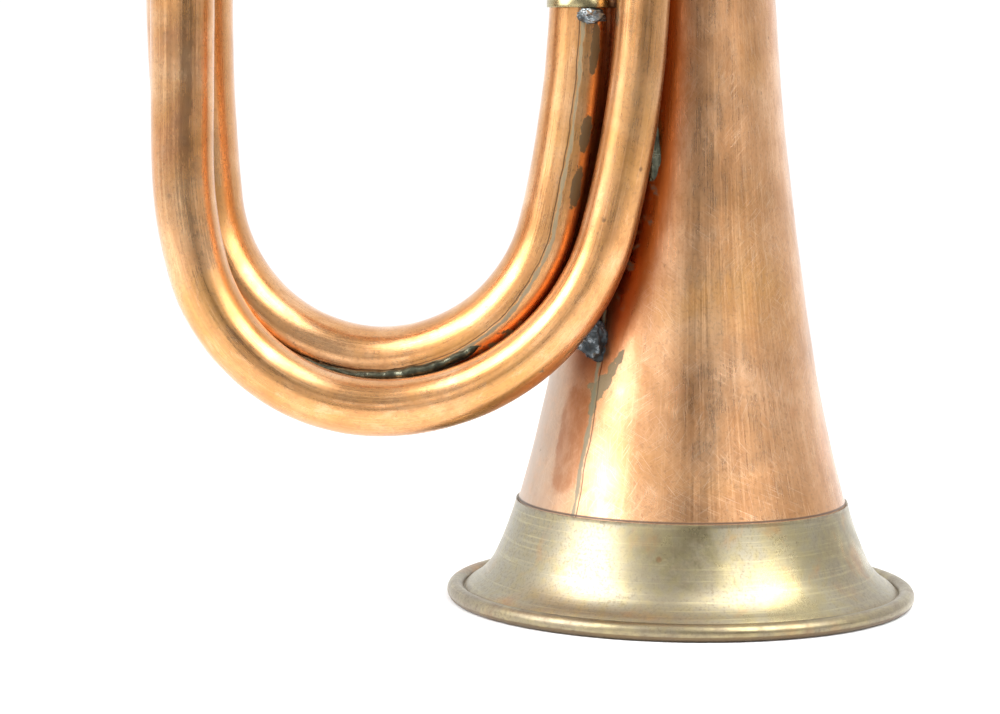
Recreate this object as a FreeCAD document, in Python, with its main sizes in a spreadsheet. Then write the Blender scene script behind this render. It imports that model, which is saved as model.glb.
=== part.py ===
import math
import os

import FreeCAD
import Part
import Sketcher
from FreeCAD import Placement, Rotation, Vector

# A double-coiled duty bugle standing on its bell.
# The origin is the centre of the bell's rim, on the surface the rim rests on.
# +Z runs up the bell's axis towards the mouthpiece, the coils lie towards -X, and the
# player's left side, where the first coil passes in front of the bell, is -Y.
# The windway goes: mouthpiece, mouthpipe, first front bow, first rear bow, second front
# bow, second rear bow, bell.  A front bow is a U at the bell end, a rear bow one at the
# mouthpiece end.  Its bore widens all the way, so every tube is a slender cone.

UP = Vector(0, 0, 1)
TINY = 1e-6

# ---------------------------------------------------------------- driving dimensions
# Millimetres.  "out" is a radius from the bell's axis, or the distance from a bow's
# right leg (negative towards its left leg), and "high" is a height.
DIMENSIONS = {
    # sheet metal
    "copper_wall": 0.6,
    "brass_wall": 0.5,
    "sleeve_wall": 0.45,
    "sleeve_play": 0.1,
    # bell: outer outline from the rim up to the throat
    "bell_foot_out": 51.9, "bell_foot_high": 3.56,
    "bell_waist_out": 45.2, "bell_waist_high": 10.77,
    "bell_shoulder_out": 40.22, "bell_shoulder_high": 24.45,
    "bell_middle_out": 28.5, "bell_middle_high": 80.0,
    "bell_throat_out": 18.9, "bell_throat_high": 181.0,
    "bell_shoulder_lean": 15.3,
    # garland: the brass band outside the bell's mouth, rolled over the rim wire
    "garland_foot_out": 53.75, "garland_foot_high": 3.3,
    "garland_waist_out": 45.7, "garland_waist_high": 11.0,
    "garland_top_out": 40.75, "garland_top_high": 24.6,
    "garland_top_lean": 15.6,
    "bead_out": 55.4, "bead_high": 2.05, "bead_radius": 2.1,
    "wire_radius": 1.55, "wire_play": 0.05,
    # first front bow, its right leg under the mouthpipe
    "mouthpipe_x": -9.9, "near_plane_y": -29.0,
    "first_front_spacing": 109.0,
    "first_front_left_high": 159.0, "first_front_right_high": 160.0,
    "first_front_bend_out": -109.0, "first_front_bend_high": 109.9,
    "first_front_heel_out": -105.5, "first_front_heel_high": 82.8,
    "first_front_bottom_out": -62.4, "first_front_bottom_high": 49.4,
    "first_front_rise_out": -7.75, "first_front_rise_high": 92.35,
    "first_front_left_radius": 7.7, "first_front_right_radius": 6.2,
    # second front bow, behind the first
    "second_right_x": -24.6, "second_right_y": -18.3,
    "second_left_x": -120.8, "second_left_y": -9.2,
    "second_front_left_high": 180.0, "second_front_right_high": 154.0,
    "second_front_bend_high": 149.7,
    "second_front_heel_inset": 3.1, "second_front_heel_high": 97.2,
    "second_front_rise_out": -6.35, "second_front_rise_high": 93.1,
    "second_front_left_radius": 10.9, "second_front_right_radius": 8.0,
    # rear bows: plain half circles on short straight legs
    "first_rear_spring_high": 174.6,
    "second_rear_spring_high": 190.0,
    # sleeves over the joints between tubes
    "sleeve_length": 18.0,
    "second_front_sleeve_low": 144.5,
    # mouthpipe and the receiver at its end
    "mouthpipe_top_high": 262.0, "mouthpipe_top_radius": 5.8,
    "receiver_low": 252.0, "receiver_top": 284.0,
    "receiver_radius": 7.0, "receiver_band_radius": 7.7, "receiver_lip_radius": 8.3,
    "receiver_band_length": 3.0, "receiver_lip_length": 4.0,
    # mouthpiece: its shank is a one in twenty taper in the receiver
    "shank_tip_high": 262.6, "shank_tip_radius": 4.92, "shank_play": 0.05,
    "shank_slope": 0.025,
    "shank_top_high": 305.0,
    "mouthpiece_ring_radius": 7.0, "mouthpiece_ring_length": 2.4,
    "cup_low": 309.0, "cup_high": 327.0, "cup_radius": 8.5,
    "throat_radius": 2.0, "backbore_radius": 4.1,
    "cup_bulge_out": 5.27, "cup_bulge_high": 316.56,
    "rim_radius": 12.8, "rim_crown_high": 328.4, "rim_crown_radius": 10.4,
    "rim_inner_out": 8.85, "rim_inner_high": 327.95,
    "rim_outer_out": 12.25, "rim_outer_high": 327.8,
    "rim_edge_high": 326.4, "rim_under_out": 12.3, "rim_under_high": 324.6,
    "bowl_bulge_out": 8.448, "bowl_bulge_high": 317.592,
    # stays: short posts soldered between tubes
    "post_radius": 2.4, "post_foot_radius": 4.6, "post_foot_length": 1.2,
    "post_bare_length": 2.4,
    "bell_stay_x": -30.0, "bell_stay_high": 67.0, "bell_stay_radius": 5.0,
    "bell_stay_turn": 25.0, "bell_stay_length": 24.0,
    "mouthpipe_stay_high": 214.0,
    "neck_solder_low": 101.0, "neck_solder_high": 122.0, "neck_solder_width": 5.0,
    "neck_solder_turn": 253.6, "neck_solder_low_out": 27.7, "neck_solder_high_out": 25.0,
    "seam_radius": 1.1, "seam_bend_radius": 44.0, "seam_sweep": 76.0,
    "seam_centre_x": -73.4, "seam_centre_y": -24.6, "seam_centre_high": 100.4,
    # lanyard rings
    "ring_wire_radius": 1.0, "ring_radius": 8.0,
    "eyelet_wire_radius": 1.0, "eyelet_hole_radius": 1.4,
    "eyelet_turn": 10.0, "eyelet_stand": 4.4, "eyelet_foot_radius": 3.2,
    "eyelet_foot_depth": 2.2, "eyelet_foot_length": 3.3, "eyelet_stem_length": 4.6,
    "left_eyelet_tube_radius": 11.4, "right_eyelet_tube_radius": 18.3,
}

doc = FreeCAD.newDocument("bugle")
sheet = doc.addObject("Spreadsheet::Sheet", "Dimensions")
worked_out = []
subparts = []
filled = {}
for row, (alias, number) in enumerate(DIMENSIONS.items(), start=1):
    sheet.set("A%d" % row, alias)
    sheet.set("B%d" % row, str(number))
    sheet.setAlias("B%d" % row, alias)
doc.recompute()


def size(alias):
    """The sheet's value of a dimension."""
    return float(sheet.get(alias))


def add_size(alias, number):
    """A size worked out from the driving ones, kept in the sheet beside them."""
    row = len(DIMENSIONS) + len(worked_out) + 1
    worked_out.append(alias)
    sheet.set("A%d" % row, alias)
    sheet.set("B%d" % row, "%.4f" % number)
    sheet.setAlias("B%d" % row, alias)
    doc.recompute()
    return number


def keep(item, label):
    """Name a finished sub-part and put it on the list that is written out."""
    item.Label = label
    subparts.append(item)
    return item


# ---------------------------------------------------------------- sketches
def origin_plane(body, role):
    return [feature for feature in body.Origin.OriginFeatures if feature.Role == role][0]


def new_sketch(body, name, role, lift=0.0):
    sketch = body.newObject("Sketcher::SketchObject", name)
    sketch.AttachmentSupport = [(origin_plane(body, role), "")]
    sketch.MapMode = "FlatFace"
    sketch.AttachmentOffset = Placement(Vector(0, 0, lift), Rotation())
    return sketch


def new_body(name, base=Vector(0, 0, 0), turn=0.0):
    body = doc.addObject("PartDesign::Body", name)
    body.Placement = Placement(base, Rotation(UP, turn))
    return body


def tangent_arc(start, direction, end):
    """The arc that leaves start along direction and reaches end, and its last direction."""
    chord = end - start
    left = Vector(-chord.y, chord.x, 0).normalize()
    lean = math.atan2(chord.x * direction.y - chord.y * direction.x,
                      chord.x * direction.x + chord.y * direction.y)
    middle = start + chord * 0.5 + left * (chord.Length / 2 * math.tan(lean / 2))
    last = Rotation(UP, -math.degrees(lean)).multVec(chord).normalize()
    return Part.Arc(start, middle, end), last


def nearest_ends(sketch, first, second):
    """The end numbers at which two edges of a sketch meet."""
    pairs = [(one, two) for one in (1, 2) for two in (1, 2)]
    return min(pairs, key=lambda pair: sketch.getPoint(first, pair[0]).distanceToPoint(
        sketch.getPoint(second, pair[1])))


def join_tangent(sketch, edges):
    """Tie each edge of a run to the next, end to end and tangent."""
    for first, second in zip(edges, edges[1:]):
        one, two = nearest_ends(sketch, first, second)
        sketch.addConstraint(Sketcher.Constraint("Tangent", first, one, second, two))


def end_at(sketch, edge, point):
    ends = (1, 2)
    return min(ends, key=lambda end: sketch.getPoint(edge, end).distanceToPoint(point))


def drive(sketch, kind, edge, end, number, alias):
    """A distance from the sketch's origin that follows a cell of the sheet."""
    index = sketch.addConstraint(Sketcher.Constraint(kind, edge, end, number))
    sketch.renameConstraint(index, alias)
    sketch.setExpression("Constraints." + alias, "Dimensions." + alias)


def drive_point(sketch, edge, point, name):
    """Both distances of an edge's end, where point is that end and name its two cells."""
    end = end_at(sketch, edge, point)
    drive(sketch, "DistanceX", edge, end, point.x, name + "_out")
    drive(sketch, "DistanceY", edge, end, point.y, name + "_high")


def cell_point(name):
    return Vector(size(name + "_out"), size(name + "_high"), 0)


def close_loop(sketch, edges):
    """Make a ring of edges meet end to end."""
    for first, second in zip(edges, edges[1:] + edges[:1]):
        one, two = nearest_ends(sketch, first, second)
        sketch.addConstraint(Sketcher.Constraint("Coincident", first, one, second, two))


# ---------------------------------------------------------------- turned and spun pieces
def revolve(body, sketch, name):
    """Spin a sketch about the bell's axis."""
    solid = body.newObject("PartDesign::Revolution", name)
    solid.Profile = sketch
    solid.ReferenceAxis = (sketch, ["V_Axis"])
    solid.Angle = 360.0
    body.Tip = solid
    return solid


def spun_blank(body, name, names, lean, pivot):
    """A solid spun from tangent arcs through the named points.

    names run up the outline, pivot is the point where the outline leans by lean degrees
    from upright towards the axis, and the blank is closed along the axis.
    """
    points = [cell_point(each) for each in names]
    up = Vector(-math.sin(math.radians(lean)), math.cos(math.radians(lean)), 0)
    above = []
    below = []
    heading = up
    for start, end in zip(points[pivot:], points[pivot + 1:]):
        arc, heading = tangent_arc(start, heading, end)
        above.append(arc)
    heading = up * -1
    for start, end in zip(points[pivot::-1], points[pivot - 1::-1]):
        arc, heading = tangent_arc(start, heading, end)
        below.insert(0, arc)
    arcs = below + above
    bottom = points[0]
    top = points[-1]
    low_centre = Vector(0, bottom.y, 0)
    top_centre = Vector(0, top.y, 0)
    lines = [Part.LineSegment(top, top_centre), Part.LineSegment(top_centre, low_centre),
             Part.LineSegment(low_centre, bottom)]
    sketch = new_sketch(body, name + "_outline", "XZ_Plane")
    sketch.addGeometry(arcs + lines, False)
    edges = list(range(len(arcs)))
    join_tangent(sketch, edges)
    first_line = len(arcs)
    for start, end in ((first_line - 1, first_line), (first_line, first_line + 1),
                       (first_line + 1, first_line + 2), (first_line + 2, 0)):
        one, two = nearest_ends(sketch, start, end)
        sketch.addConstraint(Sketcher.Constraint("Coincident", start, one, end, two))
    sketch.addConstraint(Sketcher.Constraint("Horizontal", first_line))
    sketch.addConstraint(Sketcher.Constraint("Horizontal", first_line + 2))
    axis_end = end_at(sketch, first_line + 1, top_centre)
    sketch.addConstraint(Sketcher.Constraint("PointOnObject", first_line + 1, axis_end, -2))
    sketch.addConstraint(Sketcher.Constraint("Vertical", first_line + 1))
    drive_point(sketch, 0, points[0], names[0])
    for edge, point, each in zip(edges, points[1:], names[1:]):
        drive_point(sketch, edge, point, each)
    return revolve(body, sketch, name)


def hollow_out(body, blank, name, wall_alias):
    """Thin a spun blank to a wall that is open at the top and the bottom."""
    flat = ["Face%d" % (number + 1) for number, face in enumerate(blank.Shape.Faces)
            if face.Surface.TypeId == "Part::GeomPlane"]
    wall = body.newObject("PartDesign::Thickness", name)
    wall.Base = (blank, flat)
    wall.Value = size(wall_alias)
    wall.setExpression("Value", "Dimensions." + wall_alias)
    wall.Reversed = True
    wall.Join = 1
    body.Tip = wall
    return wall


def turned_piece(label, outline):
    """A piece turned on a lathe: a closed outline of radii and heights, spun about Z.

    Each entry is (radius, height), or (radius, height, middle) where the stretch that
    ends there is an arc through the point middle.
    """
    body = new_body(label)
    sketch = new_sketch(body, label + "_outline", "XZ_Plane")
    edges = []
    corners = [Vector(entry[0], entry[1], 0) for entry in outline]
    for index, entry in enumerate(outline):
        start = corners[index - 1]
        if len(entry) == 3:
            middle = Vector(entry[2][0], entry[2][1], 0)
            edges.append(Part.Arc(start, middle, corners[index]))
        else:
            edges.append(Part.LineSegment(start, corners[index]))
    sketch.addGeometry(edges, False)
    close_loop(sketch, list(range(len(edges))))
    revolve(body, sketch, label + "_turned")
    return body


# ---------------------------------------------------------------- bent tubes
def run_down(points, heading, right_out, right_high, left_high):
    """Edges of a front bow's centre line: left leg, arcs through the points, right leg.

    The second result is where the right leg starts to be upright.
    """
    edges = [Part.LineSegment(Vector(points[0].x, left_high, 0), points[0])]
    for start, end in zip(points, points[1:]):
        arc, heading = tangent_arc(start, heading, end)
        edges.append(arc)
    # the last arc turns upright exactly on the right leg's axis
    lean = math.atan2(heading.x, heading.y)
    radius = (right_out - points[-1].x) / (1 - math.cos(lean))
    foot = Vector(right_out, points[-1].y + radius * math.sin(lean), 0)
    arc, heading = tangent_arc(points[-1], heading, foot)
    edges.append(arc)
    edges.append(Part.LineSegment(foot, Vector(right_out, right_high, 0)))
    return edges, foot


def end_ring(body, name, out, high, radius, alias, less_wall):
    """The tube's round section at one leg's end, or its bore there."""
    sketch = new_sketch(body, name, "XY_Plane", high)
    sketch.addGeometry(Part.Circle(Vector(out, 0, 0), UP, radius), False)
    sketch.addConstraint(Sketcher.Constraint("PointOnObject", 0, 3, -1))
    if abs(out) < TINY:
        sketch.addConstraint(Sketcher.Constraint("PointOnObject", 0, 3, -2))
    else:
        sketch.addConstraint(Sketcher.Constraint("DistanceX", 0, 3, out))
    index = sketch.addConstraint(Sketcher.Constraint("Radius", 0, radius))
    sketch.renameConstraint(index, "section_radius")
    formula = "Dimensions." + alias
    if less_wall:
        formula += " - Dimensions.copper_wall"
    sketch.setExpression("Constraints.section_radius", formula)
    return sketch


def bent_tube(body, path, label, left, right):
    """A hollow cone bent along path; left and right are (out, high, radius alias)."""
    spine = (path, ["Edge%d" % (number + 1) for number in range(path.GeometryCount)])
    for kind, part_name, less_wall in (("PartDesign::AdditivePipe", "outside", False),
                                       ("PartDesign::SubtractivePipe", "bore", True)):
        rings = []
        for side, (out, high, alias) in (("left", left), ("right", right)):
            radius = size(alias) - (size("copper_wall") if less_wall else 0.0)
            name = "%s_%s_%s" % (label, part_name, side)
            rings.append(end_ring(body, name, out, high, radius, alias, less_wall))
        pipe = body.newObject(kind, "%s_%s" % (label, part_name))
        pipe.Profile = rings[0]
        pipe.Spine = spine
        pipe.Sections = [(rings[1], [""])]
        pipe.Transformation = "Multisection"
        body.Tip = pipe
        doc.recompute()
        if not less_wall:
            filled[label] = pipe.Shape.copy()
            filled[label].Placement = body.Placement.multiply(filled[label].Placement)
    return body


def label_cell(label, tail):
    """The cell name that goes with a bow's label, such as first_front_left_high."""
    return label.replace("_bow", "") + "_" + tail


def front_bow(label, right_leg, turn, spacing, names, left_radius, right_radius):
    """A U at the bell end, hanging from two upright legs."""
    body = new_body(label, right_leg, turn)
    points = [Vector(-spacing, size(names[0] + "_high"), 0)]
    points += [cell_point(each) for each in names[1:]]
    left_high = size(label_cell(label, "left_high"))
    right_high = size(label_cell(label, "right_high"))
    edges, foot = run_down(points, Vector(0, -1, 0), 0.0, right_high, left_high)
    path = new_sketch(body, label + "_centre_line", "XZ_Plane")
    path.addGeometry(edges, False)
    join_tangent(path, list(range(len(edges))))
    last = len(edges) - 1
    path.addConstraint(Sketcher.Constraint("Vertical", 0))
    path.addConstraint(Sketcher.Constraint("Vertical", last))
    path.addConstraint(Sketcher.Constraint("PointOnObject", last,
                                           end_at(path, last, foot), -2))
    left_end = end_at(path, 0, Vector(-spacing, left_high, 0))
    right_end = end_at(path, last, Vector(0, right_high, 0))
    drive(path, "DistanceY", 0, left_end, left_high, label_cell(label, "left_high"))
    drive(path, "DistanceY", last, right_end, right_high, label_cell(label, "right_high"))
    for edge, point, each in zip(range(1, len(points)), points[1:], names[1:]):
        drive_point(path, edge, point, each)
    doc.recompute()
    return bent_tube(body, path, label, (-spacing, left_high, left_radius),
                     (0.0, right_high, right_radius))


def rear_bow(label, right_leg, left_leg, lows, spring_alias, left_radius, right_radius):
    """A half circle at the mouthpiece end, standing on two upright legs."""
    reach = right_leg - left_leg
    spacing = reach.Length
    body = new_body(label, right_leg, math.degrees(math.atan2(reach.y, reach.x)))
    spring = size(spring_alias)
    left_low, right_low = lows
    left_top = Vector(-spacing, spring, 0)
    right_top = Vector(0, spring, 0)
    crown = Vector(-spacing / 2, spring + spacing / 2, 0)
    edges = [Part.LineSegment(Vector(-spacing, left_low, 0), left_top),
             Part.Arc(left_top, crown, right_top),
             Part.LineSegment(right_top, Vector(0, right_low, 0))]
    path = new_sketch(body, label + "_centre_line", "XZ_Plane")
    path.addGeometry(edges, False)
    join_tangent(path, [0, 1, 2])
    path.addConstraint(Sketcher.Constraint("Vertical", 0))
    drive(path, "DistanceY", 2, end_at(path, 2, right_top), spring, spring_alias)
    doc.recompute()
    return bent_tube(body, path, label, (-spacing, left_low, left_radius),
                     (0.0, right_low, right_radius))


# ---------------------------------------------------------------- bell end
# both outlines are pinned at their third point, where their lean is known
PINNED = 2
bell_names = ["bell_foot", "bell_waist", "bell_shoulder", "bell_middle", "bell_throat"]
bell = new_body("bell_flare")
bell_blank = spun_blank(bell, "bell_blank", bell_names, size("bell_shoulder_lean"), PINNED)
doc.recompute()
bell_solid = bell_blank.Shape.copy()
hollow_out(bell, bell_blank, "bell_wall", "copper_wall")
keep(bell, "bell_flare")

garland_names = ["garland_foot", "garland_waist", "garland_top"]
garland = new_body("bell_garland")
garland_blank = spun_blank(garland, "garland_blank", garland_names,
                           size("garland_top_lean"), PINNED)
doc.recompute()
hollow_out(garland, garland_blank, "garland_wall", "brass_wall")
doc.recompute()
# the garland's lower edge is rolled round the rim wire
bead_sketch = new_sketch(garland, "bead_section", "XZ_Plane")
bead_centre = Vector(size("bead_out"), size("bead_high"), 0)
bead_sketch.addGeometry(Part.Circle(bead_centre, UP, size("bead_radius")), False)
drive(bead_sketch, "DistanceX", 0, 3, bead_centre.x, "bead_out")
drive(bead_sketch, "DistanceY", 0, 3, bead_centre.y, "bead_high")
bead_round = Sketcher.Constraint("Radius", 0, size("bead_radius"))
bead_index = bead_sketch.addConstraint(bead_round)
bead_sketch.renameConstraint(bead_index, "bead_radius")
bead_sketch.setExpression("Constraints.bead_radius", "Dimensions.bead_radius")
revolve(garland, bead_sketch, "rolled_bead")
doc.recompute()


def groove(body, name, edges):
    """Cut a ring whose section is the closed outline out of a body."""
    sketch = new_sketch(body, name + "_section", "XZ_Plane")
    sketch.addGeometry(edges, False)
    cut = body.newObject("PartDesign::Groove", name)
    cut.Profile = sketch
    cut.ReferenceAxis = (sketch, ["V_Axis"])
    cut.Angle = 360.0
    before = body.Shape.Volume
    body.Tip = cut
    doc.recompute()
    assert body.Shape.Volume < before - TINY, name + " cuts nothing"
    return cut


def box_edges(inner, outer, low, high):
    corners = [Vector(inner, low, 0), Vector(outer, low, 0), Vector(outer, high, 0),
               Vector(inner, high, 0)]
    pairs = zip(corners, corners[1:] + corners[:1])
    return [Part.LineSegment(one, two) for one, two in pairs]


groove(garland, "wire_channel",
       [Part.Circle(bead_centre, UP, size("wire_radius") + size("wire_play"))])
# the bead is worn flat where it stands on a table
bead_width = 2 * size("bead_radius")
groove(garland, "worn_foot",
       box_edges(size("bead_out") - bead_width, size("bead_out") + bead_width,
                 -bead_width, 0.0))
keep(garland, "bell_garland")

rim_wire = doc.addObject("Part::Torus", "rim_wire")
rim_wire.setExpression("Radius1", "Dimensions.bead_out")
rim_wire.setExpression("Radius2", "Dimensions.wire_radius")
rim_wire.setExpression("Placement.Base.z", "Dimensions.bead_high")
keep(rim_wire, "rim_wire")

# ---------------------------------------------------------------- the four bows
near_right = Vector(size("mouthpipe_x"), size("near_plane_y"), 0)
near_left = near_right - Vector(size("first_front_spacing"), 0, 0)
far_right = Vector(size("second_right_x"), size("second_right_y"), 0)
far_left = Vector(size("second_left_x"), size("second_left_y"), 0)
bell_axis = Vector(0, 0, 0)

first_front_names = ["first_front_bend", "first_front_heel", "first_front_bottom",
                     "first_front_rise"]
first_front = front_bow("first_front_bow", near_right, 0.0, size("first_front_spacing"),
                        first_front_names, "first_front_left_radius",
                        "first_front_right_radius")
keep(first_front, "first_front_bow")

far_reach = far_right - far_left
far_spacing = add_size("second_front_spacing", far_reach.Length)
add_size("second_front_heel_out", size("second_front_heel_inset") - far_spacing)
second_front_names = ["second_front_bend", "second_front_heel", "second_front_rise"]
second_front = front_bow("second_front_bow", far_right,
                         math.degrees(math.atan2(far_reach.y, far_reach.x)), far_spacing,
                         second_front_names, "second_front_left_radius",
                         "second_front_right_radius")
keep(second_front, "second_front_bow")

first_rear = rear_bow("first_rear_bow", far_right, near_left,
                      (size("first_front_left_high"), size("second_front_right_high")),
                      "first_rear_spring_high", "first_front_left_radius",
                      "second_front_right_radius")
keep(first_rear, "first_rear_bow")

second_rear = rear_bow("second_rear_bow", bell_axis, far_left,
                       (size("second_front_left_high"), size("bell_throat_high")),
                       "second_rear_spring_high", "second_front_left_radius",
                       "bell_throat_out")
keep(second_rear, "second_rear_bow")


# ---------------------------------------------------------------- mouthpipe and sleeves
def cone(name, base, low_alias, high_alias, low_radius, high_radius, less):
    """An upright cone between two heights of the sheet, less the wall if it is a bore."""
    solid = doc.addObject("Part::Cone", name)
    solid.setExpression("Radius1", "Dimensions.%s%s" % (low_radius, less))
    solid.setExpression("Radius2", "Dimensions.%s%s" % (high_radius, less))
    solid.setExpression("Height", "Dimensions.%s - Dimensions.%s" % (high_alias, low_alias))
    solid.Placement = Placement(base, Rotation())
    solid.setExpression("Placement.Base.z", "Dimensions." + low_alias)
    return solid


mouthpipe = doc.addObject("Part::Cut", "mouthpipe")
mouthpipe.Base = cone("mouthpipe_outside", near_right, "first_front_right_high",
                      "mouthpipe_top_high", "first_front_right_radius",
                      "mouthpipe_top_radius", "")
mouthpipe.Tool = cone("mouthpipe_bore", near_right, "first_front_right_high",
                      "mouthpipe_top_high", "first_front_right_radius",
                      "mouthpipe_top_radius", " - Dimensions.copper_wall")
keep(mouthpipe, "mouthpipe")


def sleeve(label, leg, low, bore):
    """A thin brass sleeve over the butt joint of two tubes."""
    low_alias = label + "_low"
    bore_alias = label + "_bore"
    if low_alias not in DIMENSIONS:
        add_size(low_alias, low)
    add_size(bore_alias, bore)
    walls = []
    for name, formula in (("outside", "Dimensions.%s + Dimensions.sleeve_wall" % bore_alias),
                          ("bore", "Dimensions." + bore_alias)):
        solid = doc.addObject("Part::Cylinder", "%s_%s" % (label, name))
        solid.Placement = Placement(leg, Rotation())
        solid.setExpression("Radius", formula)
        solid.setExpression("Height", "Dimensions.sleeve_length")
        solid.setExpression("Placement.Base.z", "Dimensions." + low_alias)
        walls.append(solid)
    ring = doc.addObject("Part::Cut", label)
    ring.Base, ring.Tool = walls
    return keep(ring, label)


def swell(radius_alias, extra):
    """A sleeve's bore: the tube's radius at the joint plus play and what the taper adds."""
    return size(radius_alias) + size("sleeve_play") + extra


half_sleeve = size("sleeve_length") / 2
sleeve("mouthpipe_sleeve", near_right, size("first_front_right_high") - half_sleeve,
       swell("first_front_right_radius", 0.1))
sleeve("first_front_sleeve", near_left, size("first_front_left_high") - half_sleeve,
       swell("first_front_left_radius", 0.0))
sleeve("second_front_sleeve", far_right, size("second_front_sleeve_low"),
       swell("second_front_right_radius", 0.3))
sleeve("second_rear_sleeve", far_left, size("second_front_left_high") - half_sleeve,
       swell("second_front_left_radius", 0.3))
sleeve("bell_sleeve", bell_axis, size("bell_throat_high") - half_sleeve,
       swell("bell_throat_out", 0.35))

# ---------------------------------------------------------------- receiver and mouthpiece
receiver_low = size("receiver_low")
receiver_top = size("receiver_top")
band_top = receiver_low + size("receiver_band_length")
lip_low = receiver_top - size("receiver_lip_length")
play = size("shank_play")
socket = size("mouthpipe_top_radius") + play
step = size("mouthpipe_top_high")
shank_tip = size("shank_tip_high")
tip_radius = size("shank_tip_radius")


def shank_radius(high):
    """Radius of the mouthpiece's taper at a height."""
    return tip_radius + size("shank_slope") * (high - shank_tip)


body_radius = size("receiver_radius")
band_bulge = (size("receiver_band_radius"), (band_top + receiver_low) / 2)
lip_bulge = (size("receiver_lip_radius"), (receiver_top + lip_low) / 2)
receiver = turned_piece("mouthpiece_receiver", [
    (socket, receiver_low),
    (socket, step),
    (shank_radius(step) + play, step),
    (shank_radius(receiver_top) + play, receiver_top),
    (body_radius, receiver_top),
    (body_radius, lip_low, lip_bulge),
    (body_radius, band_top),
    (body_radius, receiver_low, band_bulge),
])
receiver.Placement = Placement(near_right, Rotation())
keep(receiver, "mouthpiece_receiver")

shank_top = size("shank_top_high")
ring_top = shank_top + size("mouthpiece_ring_length")
neck = shank_radius(shank_top)
throat = size("throat_radius")
ring_bulge = (size("mouthpiece_ring_radius"), (ring_top + shank_top) / 2)
cup_bulge = (size("cup_bulge_out"), size("cup_bulge_high"))
rim_inner = (size("rim_inner_out"), size("rim_inner_high"))
rim_outer = (size("rim_outer_out"), size("rim_outer_high"))
bowl_bulge = (size("bowl_bulge_out"), size("bowl_bulge_high"))
mouthpiece = turned_piece("mouthpiece", [
    (size("backbore_radius"), shank_tip),
    (throat, shank_top),
    (throat, size("cup_low")),
    (size("cup_radius"), size("cup_high"), cup_bulge),
    (size("rim_crown_radius"), size("rim_crown_high"), rim_inner),
    (size("rim_radius"), size("rim_edge_high"), rim_outer),
    (size("rim_under_out"), size("rim_under_high")),
    (neck, ring_top, bowl_bulge),
    (neck, shank_top, ring_bulge),
    (tip_radius, shank_tip),
])
mouthpiece.Placement = Placement(near_right, Rotation())
keep(mouthpiece, "mouthpiece")


# ---------------------------------------------------------------- stays and solder
def solid_piece(label, shape):
    """A piece whose ends are shaped to the tubes that it joins."""
    item = doc.addObject("Part::Feature", label)
    item.Shape = shape
    return keep(item, label)


def post(start, end, first_foot):
    """A round post between the axes of two tubes, with a wider foot at each tube.

    first_foot is how far the foot at start reaches.  The other foot fills the rest, but
    for a short stretch of bare post between them.
    """
    reach = end - start
    second_foot = reach.Length - first_foot - size("post_bare_length")
    foot_radius = size("post_foot_radius")
    bare = Part.makeCylinder(size("post_radius"), reach.Length, start, reach)
    feet = [Part.makeCylinder(foot_radius, first_foot, start, reach),
            Part.makeCylinder(foot_radius, second_foot, end, reach * -1)]
    return bare.fuse(feet).removeSplitter()


def trimmed(solid, tubes):
    """What is left of a solid outside the filled tubes, its largest piece."""
    rest = solid.cut(tubes)
    return max(rest.Solids, key=lambda each: each.Volume)


near_tube = filled["first_front_bow"]
far_tube = filled["second_front_bow"]
rear_tube = filled["first_rear_bow"]
big_tube = filled["second_rear_bow"]
mouth_tube = Part.makeCone(size("first_front_right_radius"), size("mouthpipe_top_radius"),
                           size("mouthpipe_top_high") - size("first_front_right_high"),
                           near_right + UP * size("first_front_right_high"), UP)

# the short solder-covered post between the first front bow and the bell
stay_root = Vector(size("bell_stay_x"), size("near_plane_y"), size("bell_stay_high"))
stay_way = Rotation(UP, size("bell_stay_turn")).multVec(Vector(1, 0, 0))
bell_stay = Part.makeCylinder(size("bell_stay_radius"), size("bell_stay_length"),
                              stay_root, stay_way)
solid_piece("bell_stay", trimmed(bell_stay, [near_tube, bell_solid]))

# the fillet of solder in the narrow gap between the first front bow and the bell's neck
solder_low = size("neck_solder_low")
solder_length = size("neck_solder_high") - solder_low
solder_width = size("neck_solder_width")
neck_strip = Part.makeBox(size("neck_solder_low_out"), solder_width, solder_length,
                          Vector(0, -solder_width / 2, 0), UP)
neck_strip.Placement = Placement(UP * solder_low, Rotation(UP, size("neck_solder_turn")))
neck_skin = Part.makeCone(size("neck_solder_low_out"), size("neck_solder_high_out"),
                          solder_length, UP * solder_low, UP)
neck_solder = neck_strip.common(neck_skin)
solid_piece("neck_solder", trimmed(neck_solder, [near_tube, bell_solid]))

# the mouthpipe's stay, to the second rear bow behind it
stay_high = size("mouthpipe_stay_high")
rear_radius = (bell_axis - far_left).Length / 2
rear_turn = math.asin((stay_high - size("second_rear_spring_high")) / rear_radius)
rear_way = (bell_axis - far_left).normalize()
on_rear = rear_way * (-rear_radius * (1 - math.cos(rear_turn))) + UP * stay_high
on_mouthpipe = near_right + UP * stay_high
foot_length = size("post_foot_length")
mouthpipe_stay = post(on_mouthpipe, on_rear,
                      size("first_front_right_radius") + foot_length)
solid_piece("mouthpipe_stay", trimmed(mouthpipe_stay, [mouth_tube, big_tube]))

# the stay between the crowns of the two rear bows
first_radius = (far_right - near_left).Length / 2
first_crown_high = size("first_rear_spring_high") + first_radius
first_crown = (far_right + near_left) * 0.5 + UP * first_crown_high
second_crown_high = size("second_rear_spring_high") + rear_radius
second_crown = far_left * 0.5 + UP * second_crown_high
rear_stay = post(first_crown, second_crown,
                 size("second_front_right_radius") + foot_length)
solid_piece("rear_bow_stay", trimmed(rear_stay, [rear_tube, big_tube]))

# the seam of solder in the upper groove between the two front bows, round their bottoms
seam_half = size("seam_sweep") / 2
seam_centre = Vector(size("seam_centre_x"), size("seam_centre_y"),
                     size("seam_centre_high"))


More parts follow.
